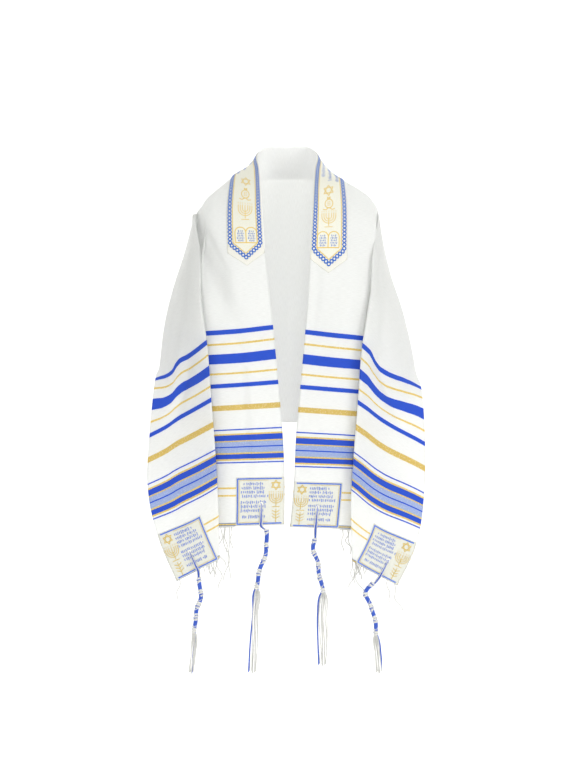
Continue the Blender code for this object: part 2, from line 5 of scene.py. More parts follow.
import bpy
import numpy as np
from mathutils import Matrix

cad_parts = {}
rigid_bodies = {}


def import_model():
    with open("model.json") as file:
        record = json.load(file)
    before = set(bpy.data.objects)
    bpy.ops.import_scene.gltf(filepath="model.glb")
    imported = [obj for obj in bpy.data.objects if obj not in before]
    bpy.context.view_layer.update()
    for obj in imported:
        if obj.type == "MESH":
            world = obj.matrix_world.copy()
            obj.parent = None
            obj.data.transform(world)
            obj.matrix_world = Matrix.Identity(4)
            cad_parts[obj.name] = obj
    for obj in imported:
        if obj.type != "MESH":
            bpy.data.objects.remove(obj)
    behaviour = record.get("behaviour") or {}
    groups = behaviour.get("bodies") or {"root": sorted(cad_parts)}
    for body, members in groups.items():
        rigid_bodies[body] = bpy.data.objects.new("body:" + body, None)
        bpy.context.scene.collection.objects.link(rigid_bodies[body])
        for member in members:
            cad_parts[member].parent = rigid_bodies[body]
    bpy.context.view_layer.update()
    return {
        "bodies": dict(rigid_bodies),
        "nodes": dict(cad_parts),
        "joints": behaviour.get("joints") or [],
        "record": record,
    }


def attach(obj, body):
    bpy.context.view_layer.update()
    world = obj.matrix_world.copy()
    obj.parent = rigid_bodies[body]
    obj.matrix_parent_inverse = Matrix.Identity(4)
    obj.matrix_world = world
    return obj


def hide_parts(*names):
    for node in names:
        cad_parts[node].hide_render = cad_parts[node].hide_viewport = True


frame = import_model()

# The dressed tallit. One rectangle of striped cloth hangs by the same tables as the solids.
# The neckband, corner patches, embroidery and threads lie on it. A flat place is (along,
# across): along the opening edge from the nape, and across from that edge. Lengths are
# millimetres until add_mesh makes them metres.

MM = 0.001

# The cut
CLOTH_LENGTH = 1830
CLOTH_WIDTH = 610
HALF_LENGTH = CLOTH_LENGTH / 2
CLOTH_THICKNESS = 1.0

# The left half: places (out, back, up) in mm on 13 weft lines, from the nape to the hem
# (along, edge, chest, turn, crest, arm, low, selvedge)
SECTIONS = (
    (0, (0, 65, 87), (0, 102, 42), (0, 124, -33), (0, 130, -96),
     (0, 134, -196), (0, 135, -348), (0, 132, -507)),
    (46, (44, 58, 86), (47, 95, 40), (47, 120, -32), (47, 127, -95),
     (46, 131, -194), (45, 132, -346), (44, 130, -506)),
    (92, (62, 20, 66), (84, 62, 30), (95, 106, -28), (95, 119, -90),
     (93, 126, -190), (91, 129, -342), (89, 129, -502)),
    (145, (57, -20, 30), (102, 18, 27), (136, 70, -19), (149, 100, -68),
     (150, 120, -160), (148, 127, -312), (142, 128, -480)),
    (205, (54, -60, -15), (105, -34, -1), (168, 12, -27), (189, 56, -55),
     (195, 98, -136), (194, 120, -284), (188, 126, -446)),
    (277, (50, -95, -78), (108, -80, -74), (172, -50, -73), (191, -32, -78),
     (220, 36, -156), (231, 94, -274), (230, 116, -421)),
    (342, (46, -113, -140), (105, -104, -139), (176, -80, -142), (177, -94, -146),
     (236, -9, -213), (259, 54, -306), (258, 84, -400)),
    (417, (38, -117, -215), (98, -117, -217), (174, -98, -223), (174, -122, -232),
     (244, -42, -294), (266, 6, -352), (270, 30, -397)),
    (511, (28, -112, -308), (98, -114, -314), (164, -101, -321), (161, -129, -338),
     (231, -78, -388), (256, -56, -403), (275, -40, -412)),
    (618, (18, -110, -418), (90, -114, -423), (155, -101, -428), (152, -129, -453),
     (219, -92, -491), (259, -71, -514), (286, -55, -529)),
    (710, (10, -108, -511), (82, -113, -514), (147, -101, -518), (144, -128, -555),
     (214, -102, -592), (254, -84, -612), (289, -70, -630)),
    (820, (5, -104, -617), (78, -110, -618), (141, -100, -620), (138, -126, -672),
     (196, -114, -706), (232, -106, -722), (265, -100, -736)),
    (915, (6, -100, -711), (75, -106, -713), (139, -98, -716), (136, -124, -780),
     (180, -114, -802), (204, -109, -815), (226, -104, -827)),
)
EDGE = 0
TURN = 2
CREST = 3
SELVEDGE = 6

# The right half hangs a little differently in front, and its shoulder slopes straighter to a
# sharper corner: (first place, last place, axis, change, where it works)
OUT, BACK, UP = range(3)
RIGHT_CHANGES = (
    (EDGE, EDGE, OUT, 9, "front above the hem"),
    (TURN, CREST, OUT, -10, "front"),
    (CREST, CREST, OUT, -4, "corner"),
    (EDGE, TURN, UP, -10, "front"),
    (CREST, CREST, UP, -4, "front"),
    (CREST + 1, SELVEDGE, UP, -17, "front"),
    (EDGE + 1, CREST, UP, -7, "slope"),
    (TURN, CREST, UP, 5, "corner"),
)
# Its arm, (along, out)
RIGHT_ARM = ((0, 0), (145, -1), (205, -7), (277, -10), (342, -12), (417, 0), (511, 5),
             (618, 1), (710, -5), (820, 0), (915, 0))

# The inner panel reaches past the crest and lies close behind it, so that no gap is seen
# between them: (along, out, ahead) for each side
TURN_SHIFT = {
    -1: ((0, 0, 0), (205, 0, 0), (277, 10, 0), (342, 11, 2), (417, 5, 4), (915, 5, 4)),
    1: ((0, 0, 0), (205, 0, 0), (277, 10, 0), (342, 10, 1), (417, 4, 4), (915, 4, 4)),
}

# The front pleat between the turn of the inner panel and the crest of the outer panel.
# Each weft line's spare width sets its depth.
PLEAT_START = 215
PLEAT_FULL = 335
# (share of the way, out, back)
PLEAT = ((0, 0, 0), (0.20, 0.04, 0.42), (0.46, 0.15, 1), (0.54, 0.32, 1), (0.74, 0.21, 0.58),
         (0.90, 0.07, 0.14), (1, 0, 0))

# Creases between two flat places, in mm; a height below 0 is a trough:
# (along, across, along, across, half width, height)
CREASES = (
    (-268, 330, -286, 760, 40, 12),
    (-205, 300, -212, 760, 26, -13),
    (-150, 250, -158, 760, 26, 11),
    (-92, 330, -96, 760, 24, -9),
    (-40, 380, -46, 760, 26, 8),
    (22, 340, 24, 760, 26, -8),
    (82, 300, 88, 760, 26, 10),
    (140, 260, 150, 760, 26, -10),
    (200, 230, 214, 760, 28, 14),
    (258, 330, 268, 760, 30, -9),
    (318, 360, 336, 760, 40, 10),
    (-225, 168, -425, 66, 6, -4),
    (-170, 190, -560, 60, 26, -20),
    (-430, 70, -905, 78, 10, -4),
    (-500, 52, -880, 66, 7, 2),
    (-310, 270, -520, 600, 9, -4),
    (300, 262, 530, 530, 9, -4),
    (330, 20, 560, 14, 10, -3),
    (-310, 290, -480, 500, 17, -5),
    (-450, 490, -640, 548, 18, -5),
    (290, 250, 440, 400, 15, -5),
    (425, 425, 640, 560, 16, -5),
    (-330, 60, -560, 95, 22, 4),
    (360, 100, 600, 60, 24, 4),
)

# Shares of a crease's length where it is first and last at its full height
CREASE_FULL = 0.45
CREASE_FALL = 0.6

# How finely the cloth is drawn
LINE_SAMPLES = 306
SPAN_SAMPLES = 24
BEND_ROUNDS = 8
HALF_ROWS = 150
COLUMN_SPANS = (28, 24, 24, 44)
# Where the columns change across the plain back, and where along they start to move
PLAIN_KNOTS = np.array((142, 264, 386))
KNOTS_MOVE = 40


# ------------ curves and the drape

def smooth_ramp(start, end, value):
    """0 before start, 1 after end, smooth between."""
    share = np.clip((value - start) / (end - start), 0.0, 1.0)
    return share * share * (3 - 2 * share)


def smooth_hump(start, full, fall, end, value):
    """Rises from start to full, and falls from fall to end."""
    return smooth_ramp(start, full, value) * (1 - smooth_ramp(fall, end, value))


def blend(first, second, share):
    """Turns from first to second as the share goes from 0 to 1."""
    return first * (1 - share) + second * share


def curve_slopes(places, keys):
    """Slopes at keys of a smooth curve through places."""
    steps = np.diff(keys)[:, None]
    chords = np.diff(places, axis=0) / steps
    inner = (chords[:-1] * steps[1:] + chords[1:] * steps[:-1]) / (steps[:-1] + steps[1:])
    first = 1.5 * chords[:1] - 0.5 * inner[:1]
    last = 1.5 * chords[-1:] - 0.5 * inner[-1:]
    return np.vstack([first, inner, last])


def hermite(start, end, start_slope, end_slope, share):
    """Cubic between two places, for shares 0 to 1 of the way."""
    share = share[:, None]
    rise = share * share * (3 - 2 * share)
    leave = share * (1 - share) ** 2
    arrive = share * share * (share - 1)
    return start + (end - start) * rise + start_slope * leave + end_slope * arrive


def curve_through(keys, places, where):
    """Points of the smooth curve through places, at some values of its key."""
    slopes = curve_slopes(places, keys)
    span = np.clip(np.searchsorted(keys, where, side="right") - 1, 0, len(keys) - 2)
    step = keys[span + 1] - keys[span]
    share = (where - keys[span]) / step
    step = step[:, None]
    return hermite(places[span], places[span + 1], slopes[span] * step,
                   slopes[span + 1] * step, share)


def reach_along(line):
    """The distance along a line of each of its points."""
    return np.concatenate([[0.0], np.cumsum(np.linalg.norm(np.diff(line, axis=0), axis=1))])


def at_reach(line, reach, where):
    """Points of a line at some distances along it."""
    return np.stack([np.interp(where, reach, column) for column in line.T], axis=-1)


def even_line(line, count):
    """The line cut into even steps, and its length."""
    reach = reach_along(line)
    return at_reach(line, reach, np.linspace(0.0, reach[-1], count)), reach[-1]


def directions(line):
    """Unit directions along a line."""
    tangents = np.gradient(line, axis=0)
    return tangents / np.maximum(np.linalg.norm(tangents, axis=1, keepdims=True), 1e-9)


def to_the_left(line):
    """Unit directions to the left of a flat line."""
    return directions(line)[:, ::-1] * (-1, 1)


def rounded_line(line):
    """The line, bent no more sharply than the cloth bends."""
    for _ in range(BEND_ROUNDS):
        before = 2 * line[:1] - line[1:2]
        after = 2 * line[-1:] - line[-2:-1]
        padded = np.vstack([before, line, after])
        line = 0.25 * padded[:-2] + 0.5 * padded[1:-1] + 0.25 * padded[2:]
    return line


def side_sections(side):
    """The sections of one half: side is -1 for the left and +1 for the right."""
    keys = np.array([row[0] for row in SECTIONS])
    places = np.array([row[1:] for row in SECTIONS], dtype=float)
    if side > 0:
        front = smooth_ramp(300, 500, keys)
        above_hem = 1 - smooth_ramp(820, 915, keys)
        works = {
            "front above the hem": front * above_hem,
            "front": front * (0.5 + 0.5 * above_hem),
            "slope": smooth_hump(92, 145, 145, 205, keys),
            "corner": smooth_hump(145, 205, 205, 342, keys),
        }
        for first, last, axis, change, where in RIGHT_CHANGES:
            places[:, first:last + 1, axis] += change * works[where][:, None]
        places[:, CREST + 1:, OUT] += np.interp(keys, *np.array(RIGHT_ARM).T)[:, None]
    reach, past, ahead = np.array(TURN_SHIFT[side]).T
    places[:, TURN, OUT] += np.interp(keys, reach, past)
    places[:, TURN, BACK] -= np.interp(keys, reach, ahead)
    places[:, CREST, BACK] += 0.5 * np.interp(keys, reach, ahead)
    places[:, :, OUT] *= side
    return keys, places


def weft_line(places, pleat, depth, side):
    """A weft line with the pleat folded in, and its folds' shares of its length."""
    keys = reach_along(places)
    slopes = curve_slopes(places, keys)
    way, out, back = np.array(PLEAT).T
    parts = []
    for span, chord in enumerate(np.diff(keys)):
        count = SPAN_SAMPLES * (3 if span == TURN else 1)
        share = np.linspace(0.0, 1.0, count, endpoint=False)
        leave, arrive = slopes[span:span + 2]
        straight = (places[span + 1] - places[span]) / chord
        if span + 1 == TURN:
            arrive = blend(arrive, 1.5 * straight - 0.5 * leave, pleat)
        if span == TURN:
            leave, arrive = (blend(slope, straight, pleat) for slope in (leave, arrive))
        if span == CREST:
            leave = blend(leave, 1.5 * straight - 0.5 * arrive, pleat)
        part = hermite(places[span], places[span + 1], leave * chord, arrive * chord, share)
        if span == TURN:
            part[:, OUT] += side * depth * np.interp(share, way, out)
            part[:, BACK] += depth * np.interp(share, way, back)
        parts.append(part)
    line = np.vstack(parts + [places[-1:]])
    reach = reach_along(line)
    turn = TURN * SPAN_SAMPLES
    crest = turn + 3 * SPAN_SAMPLES
    return line, reach[[turn, (turn + crest) // 2, crest]] / reach[-1]


def settled_line(places, pleat, side):
    """A weft line as long as the cloth is wide, its spare width in the pleat."""
    def finished(depth):
        line, shares = weft_line(places, pleat, depth, side)
        line, _ = even_line(line, LINE_SAMPLES)
        line, length = even_line(rounded_line(line), LINE_SAMPLES)
        return line, length, shares

    line, length, shares = finished(0.0)
    places = places.copy()
    places[SELVEDGE, UP] -= (CLOTH_WIDTH - length) * (1 - pleat)
    if pleat == 0:
        return finished(0.0)
    shallow, deep = 0.0, CLOTH_WIDTH / 2
    for _ in range(12):
        depth = (shallow + deep) / 2
        line, length, shares = finished(depth)
        if length < CLOTH_WIDTH:
            shallow = depth
        else:
            deep = depth
    return line, length, shares


def half_drape(side):
    """Weft lines of one half, nape first, and where its long folds lie across."""
    keys, places = side_sections(side)
    along = np.linspace(0.0, HALF_LENGTH, HALF_ROWS + 1)
    dense = curve_through(keys, places.reshape(len(keys), -1), along)
    lines = []
    knots = []
    for row, reach in zip(dense.reshape(len(along), -1, 3), along):
        pleat = float(smooth_ramp(PLEAT_START, PLEAT_FULL, reach))
        line, length, shares = settled_line(row, pleat, side)
        follow = smooth_ramp(KNOTS_MOVE, PLEAT_START, reach)
        knots.append(blend(PLAIN_KNOTS, shares * length, follow))
        lines.append(line)
    return np.array(lines), np.array(knots)


def grid_normals(grid):
    """Outward unit normals of a grid of points."""
    normals = np.cross(np.gradient(grid, axis=0), np.gradient(grid, axis=1))
    return normals / np.linalg.norm(normals, axis=2, keepdims=True)


def crease_height(along, across):
    """Height of all the small folds at places on the flat cloth."""
    height = np.zeros(np.broadcast(along, across).shape)
    for row in CREASES:
        from_along, from_across, to_along, to_across, half_width, rise = np.array(row)
        run = np.array((to_along - from_along, to_across - from_across))
        length = np.hypot(*run)
        run = run / length
        ahead = (along - from_along) * run[0] + (across - from_across) * run[1]
        aside = (along - from_along) * run[1] - (across - from_across) * run[0]
        fade = smooth_hump(0, CREASE_FULL * length, CREASE_FALL * length, length, ahead)
        height += rise * fade * np.exp(-(aside / half_width) ** 2)
    return height


def column_places(knots):
    """Where a weft line's columns lie across, closer together at the folds."""
    stops = np.concatenate([[0.0], knots, [CLOTH_WIDTH]])
    columns = [np.array([0.0])]
    for start, end, count in zip(stops[:-1], stops[1:], COLUMN_SPANS):
        share = np.arange(1, count + 1) / count
        columns.append(start + (end - start) * share)
    return np.concatenate(columns)


def whole_drape():
    """Weft lines of the whole cloth, their normals, and where their columns lie."""
    lines, knots = (np.concatenate([left[::-1], right[1:]])
                    for left, right in zip(half_drape(-1), half_drape(1)))
    along = np.linspace(-HALF_LENGTH, HALF_LENGTH, 2 * HALF_ROWS + 1)
    even = np.linspace(0.0, CLOTH_WIDTH, LINE_SAMPLES)
    height = crease_height(along[:, None], even[None, :])
    lines = lines + grid_normals(lines) * height[:, :, None]
    columns = np.array([column_places(row) for row in knots])
    return along, lines, grid_normals(lines), columns


DRAPE_ALONG, DRAPE_LINES, DRAPE_NORMALS, DRAPE_COLUMNS = whole_drape()


def sampled(field, flat):
    """A field of the draped cloth at flat places, between its grid's points."""
    last = np.array(field.shape[:2]) - 1
    cell = (np.asarray(flat) + (HALF_LENGTH, 0.0)) / (CLOTH_LENGTH, CLOTH_WIDTH) * last
    cell = np.clip(cell, 0, last - 1e-6)
    row, column = np.moveaxis(cell.astype(int), -1, 0)
    row_share, column_share = np.moveaxis(cell - cell.astype(int), -1, 0)[..., None]
    total = 0.0
    for ahead, aside in ((0, 0), (0, 1), (1, 0), (1, 1)):
        share = np.abs(1 - ahead - row_share) * np.abs(1 - aside - column_share)
        total = total + field[row + ahead, column + aside] * share
    return total


def cloth_place(flat, lift):
    """Points a distance above the draped cloth, at flat places."""
    normals = sampled(DRAPE_NORMALS, flat)
    normals = normals / np.linalg.norm(normals, axis=-1, keepdims=True)
    return sampled(DRAPE_LINES, flat) + normals * np.asarray(lift)[..., None]


# ------------ meshes

def add_object(name, data):
    """A new object in the scene."""
    piece = bpy.data.objects.new(name, data)
    bpy.context.scene.collection.objects.link(piece)
    return piece


def add_mesh(name, points, faces, places=None):
    """An object of these faces; its UV map gives flat places."""
    mesh = bpy.data.meshes.new(name)
    mesh.from_pydata((points.reshape(-1, 3) * MM).tolist(), [], faces.tolist())
    if places is not None:
        corners = np.empty(len(mesh.loops), dtype=np.int32)
        mesh.loops.foreach_get("vertex_index", corners)
        places = (places.reshape(-1, 2)[corners] * MM).astype(np.float32)
        mesh.uv_layers.new(name="flat").data.foreach_set("uv", places.ravel())
    mesh.shade_smooth()
    return add_object(name, mesh)


def grid_quads(rows, columns, first=0, around=False):
    """Quads of a grid of points; around joins its last column to its first."""
    index = first + np.arange(rows * columns).reshape(rows, columns)
    if around:
        index = np.concatenate([index, index[:, :1]], axis=1)
    return np.stack([index[:-1, :-1], index[1:, :-1], index[1:, 1:], index[:-1, 1:]],
                    axis=-1).reshape(-1, 4)


def strip_places(line, across):
    """UV places of a strip: along its line, and across it."""
    return np.stack(np.broadcast_arrays(reach_along(line)[:, None], across), axis=-1)


def cloth_grid(name, flat, lift, thickness, offset=1.0):
    """A piece of cloth on the shawl, from a grid of flat places."""
    piece = add_mesh(name, cloth_place(flat, lift), grid_quads(*flat.shape[:2]), flat)
    wall = piece.modifiers.new("wall", "SOLIDIFY")
    wall.thickness = thickness * MM
    wall.offset = offset
    wall.use_rim = True
    return piece


class MeshParts:
    """Gathers many small grids into one mesh."""

    def __init__(self):
        self.points = []
        self.faces = []
        self.places = []
        self.count = 0

    def add(self, points, places, around=False):
        rows, columns = points.shape[:2]
        self.faces.append(grid_quads(rows, columns, self.count, around))
        self.points.append(points.reshape(-1, 3))
        self.places.append(places.reshape(-1, 2))
        self.count += rows * columns

    def build(self, name, material, slot, *nodes):
        piece = add_mesh(name, *map(np.concatenate, (self.points, self.faces, self.places)))
        return dress(piece, material, slot, *nodes)


def dress(piece, material, slot, *nodes):
    """Give a piece its material, its body and the solids it stands for, which it hides; the slot is
    not used.
    """
    piece.data.materials.append(MATERIALS[material])
    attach(piece, "root")
    if nodes:
        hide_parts(*nodes)
    return piece


# ------------ embroidery

# A stroke is a raised line of thread: how far aside its points lie and how high they rise
STROKE_ASIDE = np.array((-0.5, -0.42, -0.2, 0.2, 0.42, 0.5))
STROKE_RISE = np.array((0.0, 0.62, 1.0, 1.0, 0.62, 0.0))
DASH_LENGTHS = (7.5, 4.0, 9.5, 6.0, 3.0, 8.0, 5.0)
WORD_GAP = 3.6
SATIN_STEP = 2.5
# Steps at which the lines of seams and motifs follow the cloth
SEAM_STEP = 0.4
MOTIF_STEP = 0.8


def even_places(corners, step):
    """A polyline cut into even steps of about a length, and its distances along."""
    corners = np.asarray(corners, dtype=float)
    reach = reach_along(corners)
    where = np.linspace(0.0, reach[-1], max(2, int(round(reach[-1] / step)) + 1))
    return at_reach(corners, reach, where), where


class Stitching(MeshParts):
    """Stitches on a layer that lies this high above the cloth."""

    def __init__(self, lift):
        super().__init__()
        self.lift = lift

    def stroke(self, places, width, height, over=0.0):
        """A line of thread through flat places; over is extra lift at each."""
        across = STROKE_ASIDE * width
        flat = places[:, None] + to_the_left(places)[:, None] * across[:, None]
        rise = self.lift + STROKE_RISE * height + np.broadcast_to(over, len(places))[:, None]
        self.add(cloth_place(flat, rise), strip_places(places, across))

    def chain(self, corners, width, link, thread, height):
        """A border of two threads that cross over each other again and again."""
        places, where = even_places(corners, link / 8)
        aside = to_the_left(places) * (width - thread) / 2
        for turn in (0.0, math.pi):
            phase = where / link * math.pi + turn
            over = 0.5 * height * (1 + np.cos(phase))
            self.stroke(places + aside * np.sin(phase)[:, None], thread, height, over)

    def beads(self, corners, width, step, height):
        """A line of short satin stitches, set a little apart."""
        places, _ = even_places(corners, step / 6)
        for start in range(0, len(places) - 6, 6):
            self.stroke(places[start:start + 6], width, height)

    def seam(self, corners, dash, gap):
        """A line of machine stitches."""
        places, where = even_places(corners, SEAM_STEP)
        for start in np.arange(0.0, where[-1] - dash, dash + gap):
            stitch = at_reach(places, where, np.linspace(start, start + dash, 4))
            self.stroke(stitch, width=0.5, height=0.15)

    def motif(self, lines, to_flat, width, height):
        """Lines that take turns to lie a little higher where they cross."""
        for number, line in enumerate(lines):
            places, _ = even_places(line, MOTIF_STEP)
            self.stroke(to_flat(places), width, height, 0.02 * (number % 3))

    def dash(self, start, end, level, tall, to_flat):
        """A dash of upright satin stitches that lean and differ in height."""
        count = max(2, int(round((end - start) / SATIN_STEP)))
        for number, place in enumerate(np.linspace(start, end, count)):
            rise = tall * (0.5 + 0.2 * math.sin(2.6 * number + 1.9 * start))
            lean = 0.5 * math.sin(1.7 * number + start)
            stitch = [(place - lean, level - rise), (place + lean, level + rise)]
            self.motif([stitch], to_flat, width=1.4, height=0.2)

    def dash_row(self, start, end, number, level, tall, to_flat):
        """Dashes of uneven lengths; each row number starts with another length."""
        while start < end - 2:
            length = min(DASH_LENGTHS[number % len(DASH_LENGTHS)], end - start)
            self.dash(start, start + length, level, tall, to_flat)
            start += length + WORD_GAP
            number += 1


# ------------ materials

STRIPE_COLOURS = {
    "white": (0.9, 0.905, 0.9),
    "blue": (0.052, 0.145, 0.71),
    "gold": (0.76, 0.6, 0.2),
    "fine": (0.84, 0.67, 0.22),
    "light": (0.45, 0.545, 0.79),
    "hem": (0.3, 0.37, 0.56),
}

# Stripes on the cloth: from this distance above the hem (mm) the cloth has this colour
STRIPES = (
    (0, "white"), (1.2, "hem"), (2.6, "fine"), (5.8, "hem"), (7.4, "white"),
    (60.2, "fine"), (63.8, "white"), (76.2, "fine"), (79.8, "white"),
    (130.8, "blue"), (133.3, "white"), (137.3, "fine"), (140.5, "blue"),
    (151.0, "fine"), (154.0, "light"), (165.2, "blue"), (167.8, "light"),
    (178.0, "fine"), (181.2, "blue"), (192.8, "fine"), (196.0, "white"),
    (203.3, "blue"), (205.8, "white"), (245.4, "gold"), (256.4, "white"),
    (292.7, "blue"), (301.3, "white"), (320.2, "fine"), (323.8, "white"),
    (342.2, "blue"), (361.8, "white"), (380.2, "fine"), (383.8, "white"),
    (401.5, "blue"), (410.5, "white"),
)
# A colour ramp holds 32 colours, so a second one takes over here
STRIPE_SPLIT = 220
STRIPE_END = STRIPES[-1][0] + 10
# How far the stripes bow towards the hem, (across, bow) in mm, and less below BOW_FADE
BOW_WIDTH = 610
BOW_RANGE = 50
BOW_FADE = (297, 342)
LEFT_BOW = (
    (0, 0), (60, 2.0), (110, 1.2), (140, 0), (467, 0), (489, -0.5), (516, -3.0), (532, -4.0),
    (547, 1.0), (556, 7.0), (575, 8.5), (591, 6.0), (609, 3.0),
)
RIGHT_BOW = (
    (0, 0), (60, 1.0), (130, 0), (442, 2.0), (457, 3.5), (469, 9.0), (486, 15.0), (500, 16.0),
    (519, 14.5), (543, 10.0), (569, 6.0), (589, 4.0), (609, 5.0),
)
# Flecks of white weft in the stripes: (colour of the fleck, how strong)
GOLD_FLECKS = ((0.93, 0.87, 0.70), 0.6)
PALE_FLECKS = ((0.86, 0.87, 0.86), 0.5)
# Shares of the light that pass through the bare cloth and the part under the neckband
CLOTH_LETS_THROUGH = 0.56
BAND_LETS_THROUGH = 0.09
BAND_WIDTH = 78
BAND_REACH = 348


class Nodes:
    """Builds a material's nodes."""

    def __init__(self, name, roughness, sheen=0.0, specular=0.25):
        self.material = bpy.data.materials.new(name)
        self.material.use_nodes = True
        self.tree = self.material.node_tree
        self.shader = self.tree.nodes["Principled BSDF"]
        for socket, value in (("Roughness", roughness), ("Specular IOR Level", specular),
                              ("Sheen Weight", sheen), ("Sheen Roughness", 0.5)):
            self.shader.inputs[socket].default_value = value

    def connect(self, source, target):
        """Gives an input a number, a colour or another node's output."""
        if isinstance(source, (int, float)):
            target.default_value = source
        elif isinstance(source, tuple):
            target.default_value = source + (1.0,)
        else:
            self.tree.links.new(source, target)

    def node(self, kind, *values, **settings):
        """Adds a node with these settings; the values go to its first inputs."""
        node = self.tree.nodes.new("ShaderNode" + kind)
        for setting, value in settings.items():
            setattr(node, setting, value)
        for value, socket in zip(values, node.inputs):
            self.connect(value, socket)
        return node

    def flat(self):
        """The flat place as two outputs."""
        place = self.node("UVMap", uv_map="flat").outputs[0]
        return self.node("SeparateXYZ", place).outputs[:2]

    def vector(self, along, across):
        return self.node("CombineXYZ", along, across).outputs[0]

    def math(self, operation, *values):
        return self.node("Math", *values, operation=operation).outputs[0]

    plus = partialmethod(math, "ADD")
    minus = partialmethod(math, "SUBTRACT")
    times = partialmethod(math, "MULTIPLY")
    over = partialmethod(math, "DIVIDE")
    above = partialmethod(math, "GREATER_THAN")

    def noise(self, place, scale, detail=2.0):
        return self.node("TexNoise", place, 0.0, scale, detail).outputs["Fac"]

    def mix(self, share, first, second, blend="MIX"):
        node = self.node("Mix", share, data_type="RGBA", blend_type=blend)
        self.connect(first, node.inputs[6])
        self.connect(second, node.inputs[7])
        return node.outputs[2]

    def ramp(self, share, stops, between="LINEAR"):
        """A colour ramp; stops are (place, colour) from low to high."""
        node = self.node("ValToRGB", share)
        ramp = node.color_ramp
        ramp.interpolation = between
        ramp.elements.remove(ramp.elements[-1])
        ramp.elements[0].position = stops[0][0]
        ramp.elements[0].color = stops[0][1] + (1.0,)
        for place, colour in stops[1:]:
            ramp.elements.new(place).color = colour + (1.0,)
        return node.outputs[0]

    def grey_ramp(self, share, low, high):
        """0 below low, 1 above high."""
        return self.ramp(share, ((low, (0.0,) * 3), (high, (1.0,) * 3)))

    def weave(self, along, across, pitch):
        """Plain weave: the threads of both ways go over and under each other."""
        one, other = (self.math("SINE", self.times(way, 2 * math.pi / pitch))
                      for way in (along, across))
        return self.math("MULTIPLY_ADD", self.times(one, other), 0.5, 0.5)

    def bump(self, height, distance, strength):
        node = self.node("Bump", strength, distance)
        self.connect(height, node.inputs["Height"])
        self.connect(node.outputs[0], self.shader.inputs["Normal"])

    def colour(self, source):
        self.connect(source, self.shader.inputs["Base Color"])

    def let_light_through(self, share):
        """Thin cloth: a share of the light passes through the surface."""
        colour, normal = (self.shader.inputs[socket].links[0].from_socket
                          for socket in ("Base Color", "Normal"))
        behind = self.node("BsdfTranslucent", colour, normal)
        mixed = self.node("MixShader", share, self.shader.outputs[0], behind.outputs[0])
        self.connect(mixed.outputs[0], self.tree.nodes["Material Output"].inputs[0])


def stripe_distance(nodes, along, across, fibres):
    """The distance from the hem in mm, ragged and bowed as the stripes are."""
    from_hem = nodes.minus(HALF_LENGTH, nodes.times(nodes.math("ABSOLUTE", along), 1 / MM))
    from_hem = nodes.plus(from_hem, nodes.times(nodes.minus(fibres, 0.5), 0.9))
    bows = []
    for table in (LEFT_BOW, RIGHT_BOW):
        stops = [(place / BOW_WIDTH, (0.5 + shift / BOW_RANGE,) * 3) for place, shift in table]
        bows.append(nodes.ramp(nodes.over(across, BOW_WIDTH * MM), stops, "CARDINAL"))
    bow = nodes.mix(nodes.above(along, 0.0), *bows)
    low, high = BOW_FADE
    fade = nodes.grey_ramp(nodes.over(from_hem, high), low / high, 1.0)
    fade = nodes.math("MULTIPLY_ADD", fade, 0.8, 0.2)
    bow = nodes.times(nodes.minus(bow, 0.5), BOW_RANGE)
    return nodes.plus(from_hem, nodes.times(bow, fade))


def cloth_material():
    """White cloth with woven stripes, placed by the distance from the hem."""
    nodes = Nodes("shawl_weave", roughness=0.88, sheen=0.15)
    along, across = nodes.flat()
    fibres = nodes.noise(nodes.vector(nodes.times(along, 6.0), across), scale=260.0, detail=3.0)
    yarns = nodes.noise(nodes.vector(along, nodes.times(across, 0.06)), scale=1500.0, detail=1.0)
    from_hem = stripe_distance(nodes, along, across, fibres)
    low_stops = [stop for stop in STRIPES if stop[0] < STRIPE_SPLIT]
    high_stops = [(STRIPE_SPLIT, "white")] + [stop for stop in STRIPES if stop[0] > STRIPE_SPLIT]
    halves = []
    for start, end, stops in ((0, STRIPE_SPLIT, low_stops), (STRIPE_SPLIT, STRIPE_END, high_stops)):
        share = nodes.over(nodes.minus(from_hem, start), end - start)
        stops = [((place - start) / (end - start), STRIPE_COLOURS[name]) for place, name in stops]
        halves.append(nodes.ramp(share, stops, "CONSTANT"))
    woven = nodes.mix(nodes.above(from_hem, STRIPE_SPLIT), *halves)
    red, _, blue = nodes.node("SeparateColor", woven).outputs
    golden = nodes.above(nodes.minus(red, blue), 0.15)
    pale = nodes.times(nodes.above(red, 0.4), nodes.math("LESS_THAN", red, 0.5))
    flecks = nodes.noise(nodes.vector(along, across), scale=420.0, detail=1.0)
    flecks = nodes.grey_ramp(flecks, 0.56, 0.66)
    for where, (colour, strength) in ((golden, GOLD_FLECKS), (pale, PALE_FLECKS)):
        woven = nodes.mix(nodes.times(nodes.times(flecks, where), strength), woven, colour)
    shade = nodes.ramp(yarns, ((0.3, (0.93,) * 3), (0.7, (1.0,) * 3)))
    nodes.colour(nodes.mix(1.0, woven, shade, "MULTIPLY"))
    height = nodes.plus(nodes.weave(along, across, 1.1 * MM), nodes.times(red, -1.2))
    height = nodes.plus(height, nodes.times(fibres, 0.8))
    nodes.bump(height, distance=0.16 * MM, strength=0.45)
    bare = nodes.math("MAXIMUM", nodes.above(across, BAND_WIDTH * MM),
                      nodes.above(nodes.math("ABSOLUTE", along), BAND_REACH * MM))
    nodes.let_light_through(nodes.plus(
        nodes.times(bare, CLOTH_LETS_THROUGH - BAND_LETS_THROUGH), BAND_LETS_THROUGH))
    return nodes.material


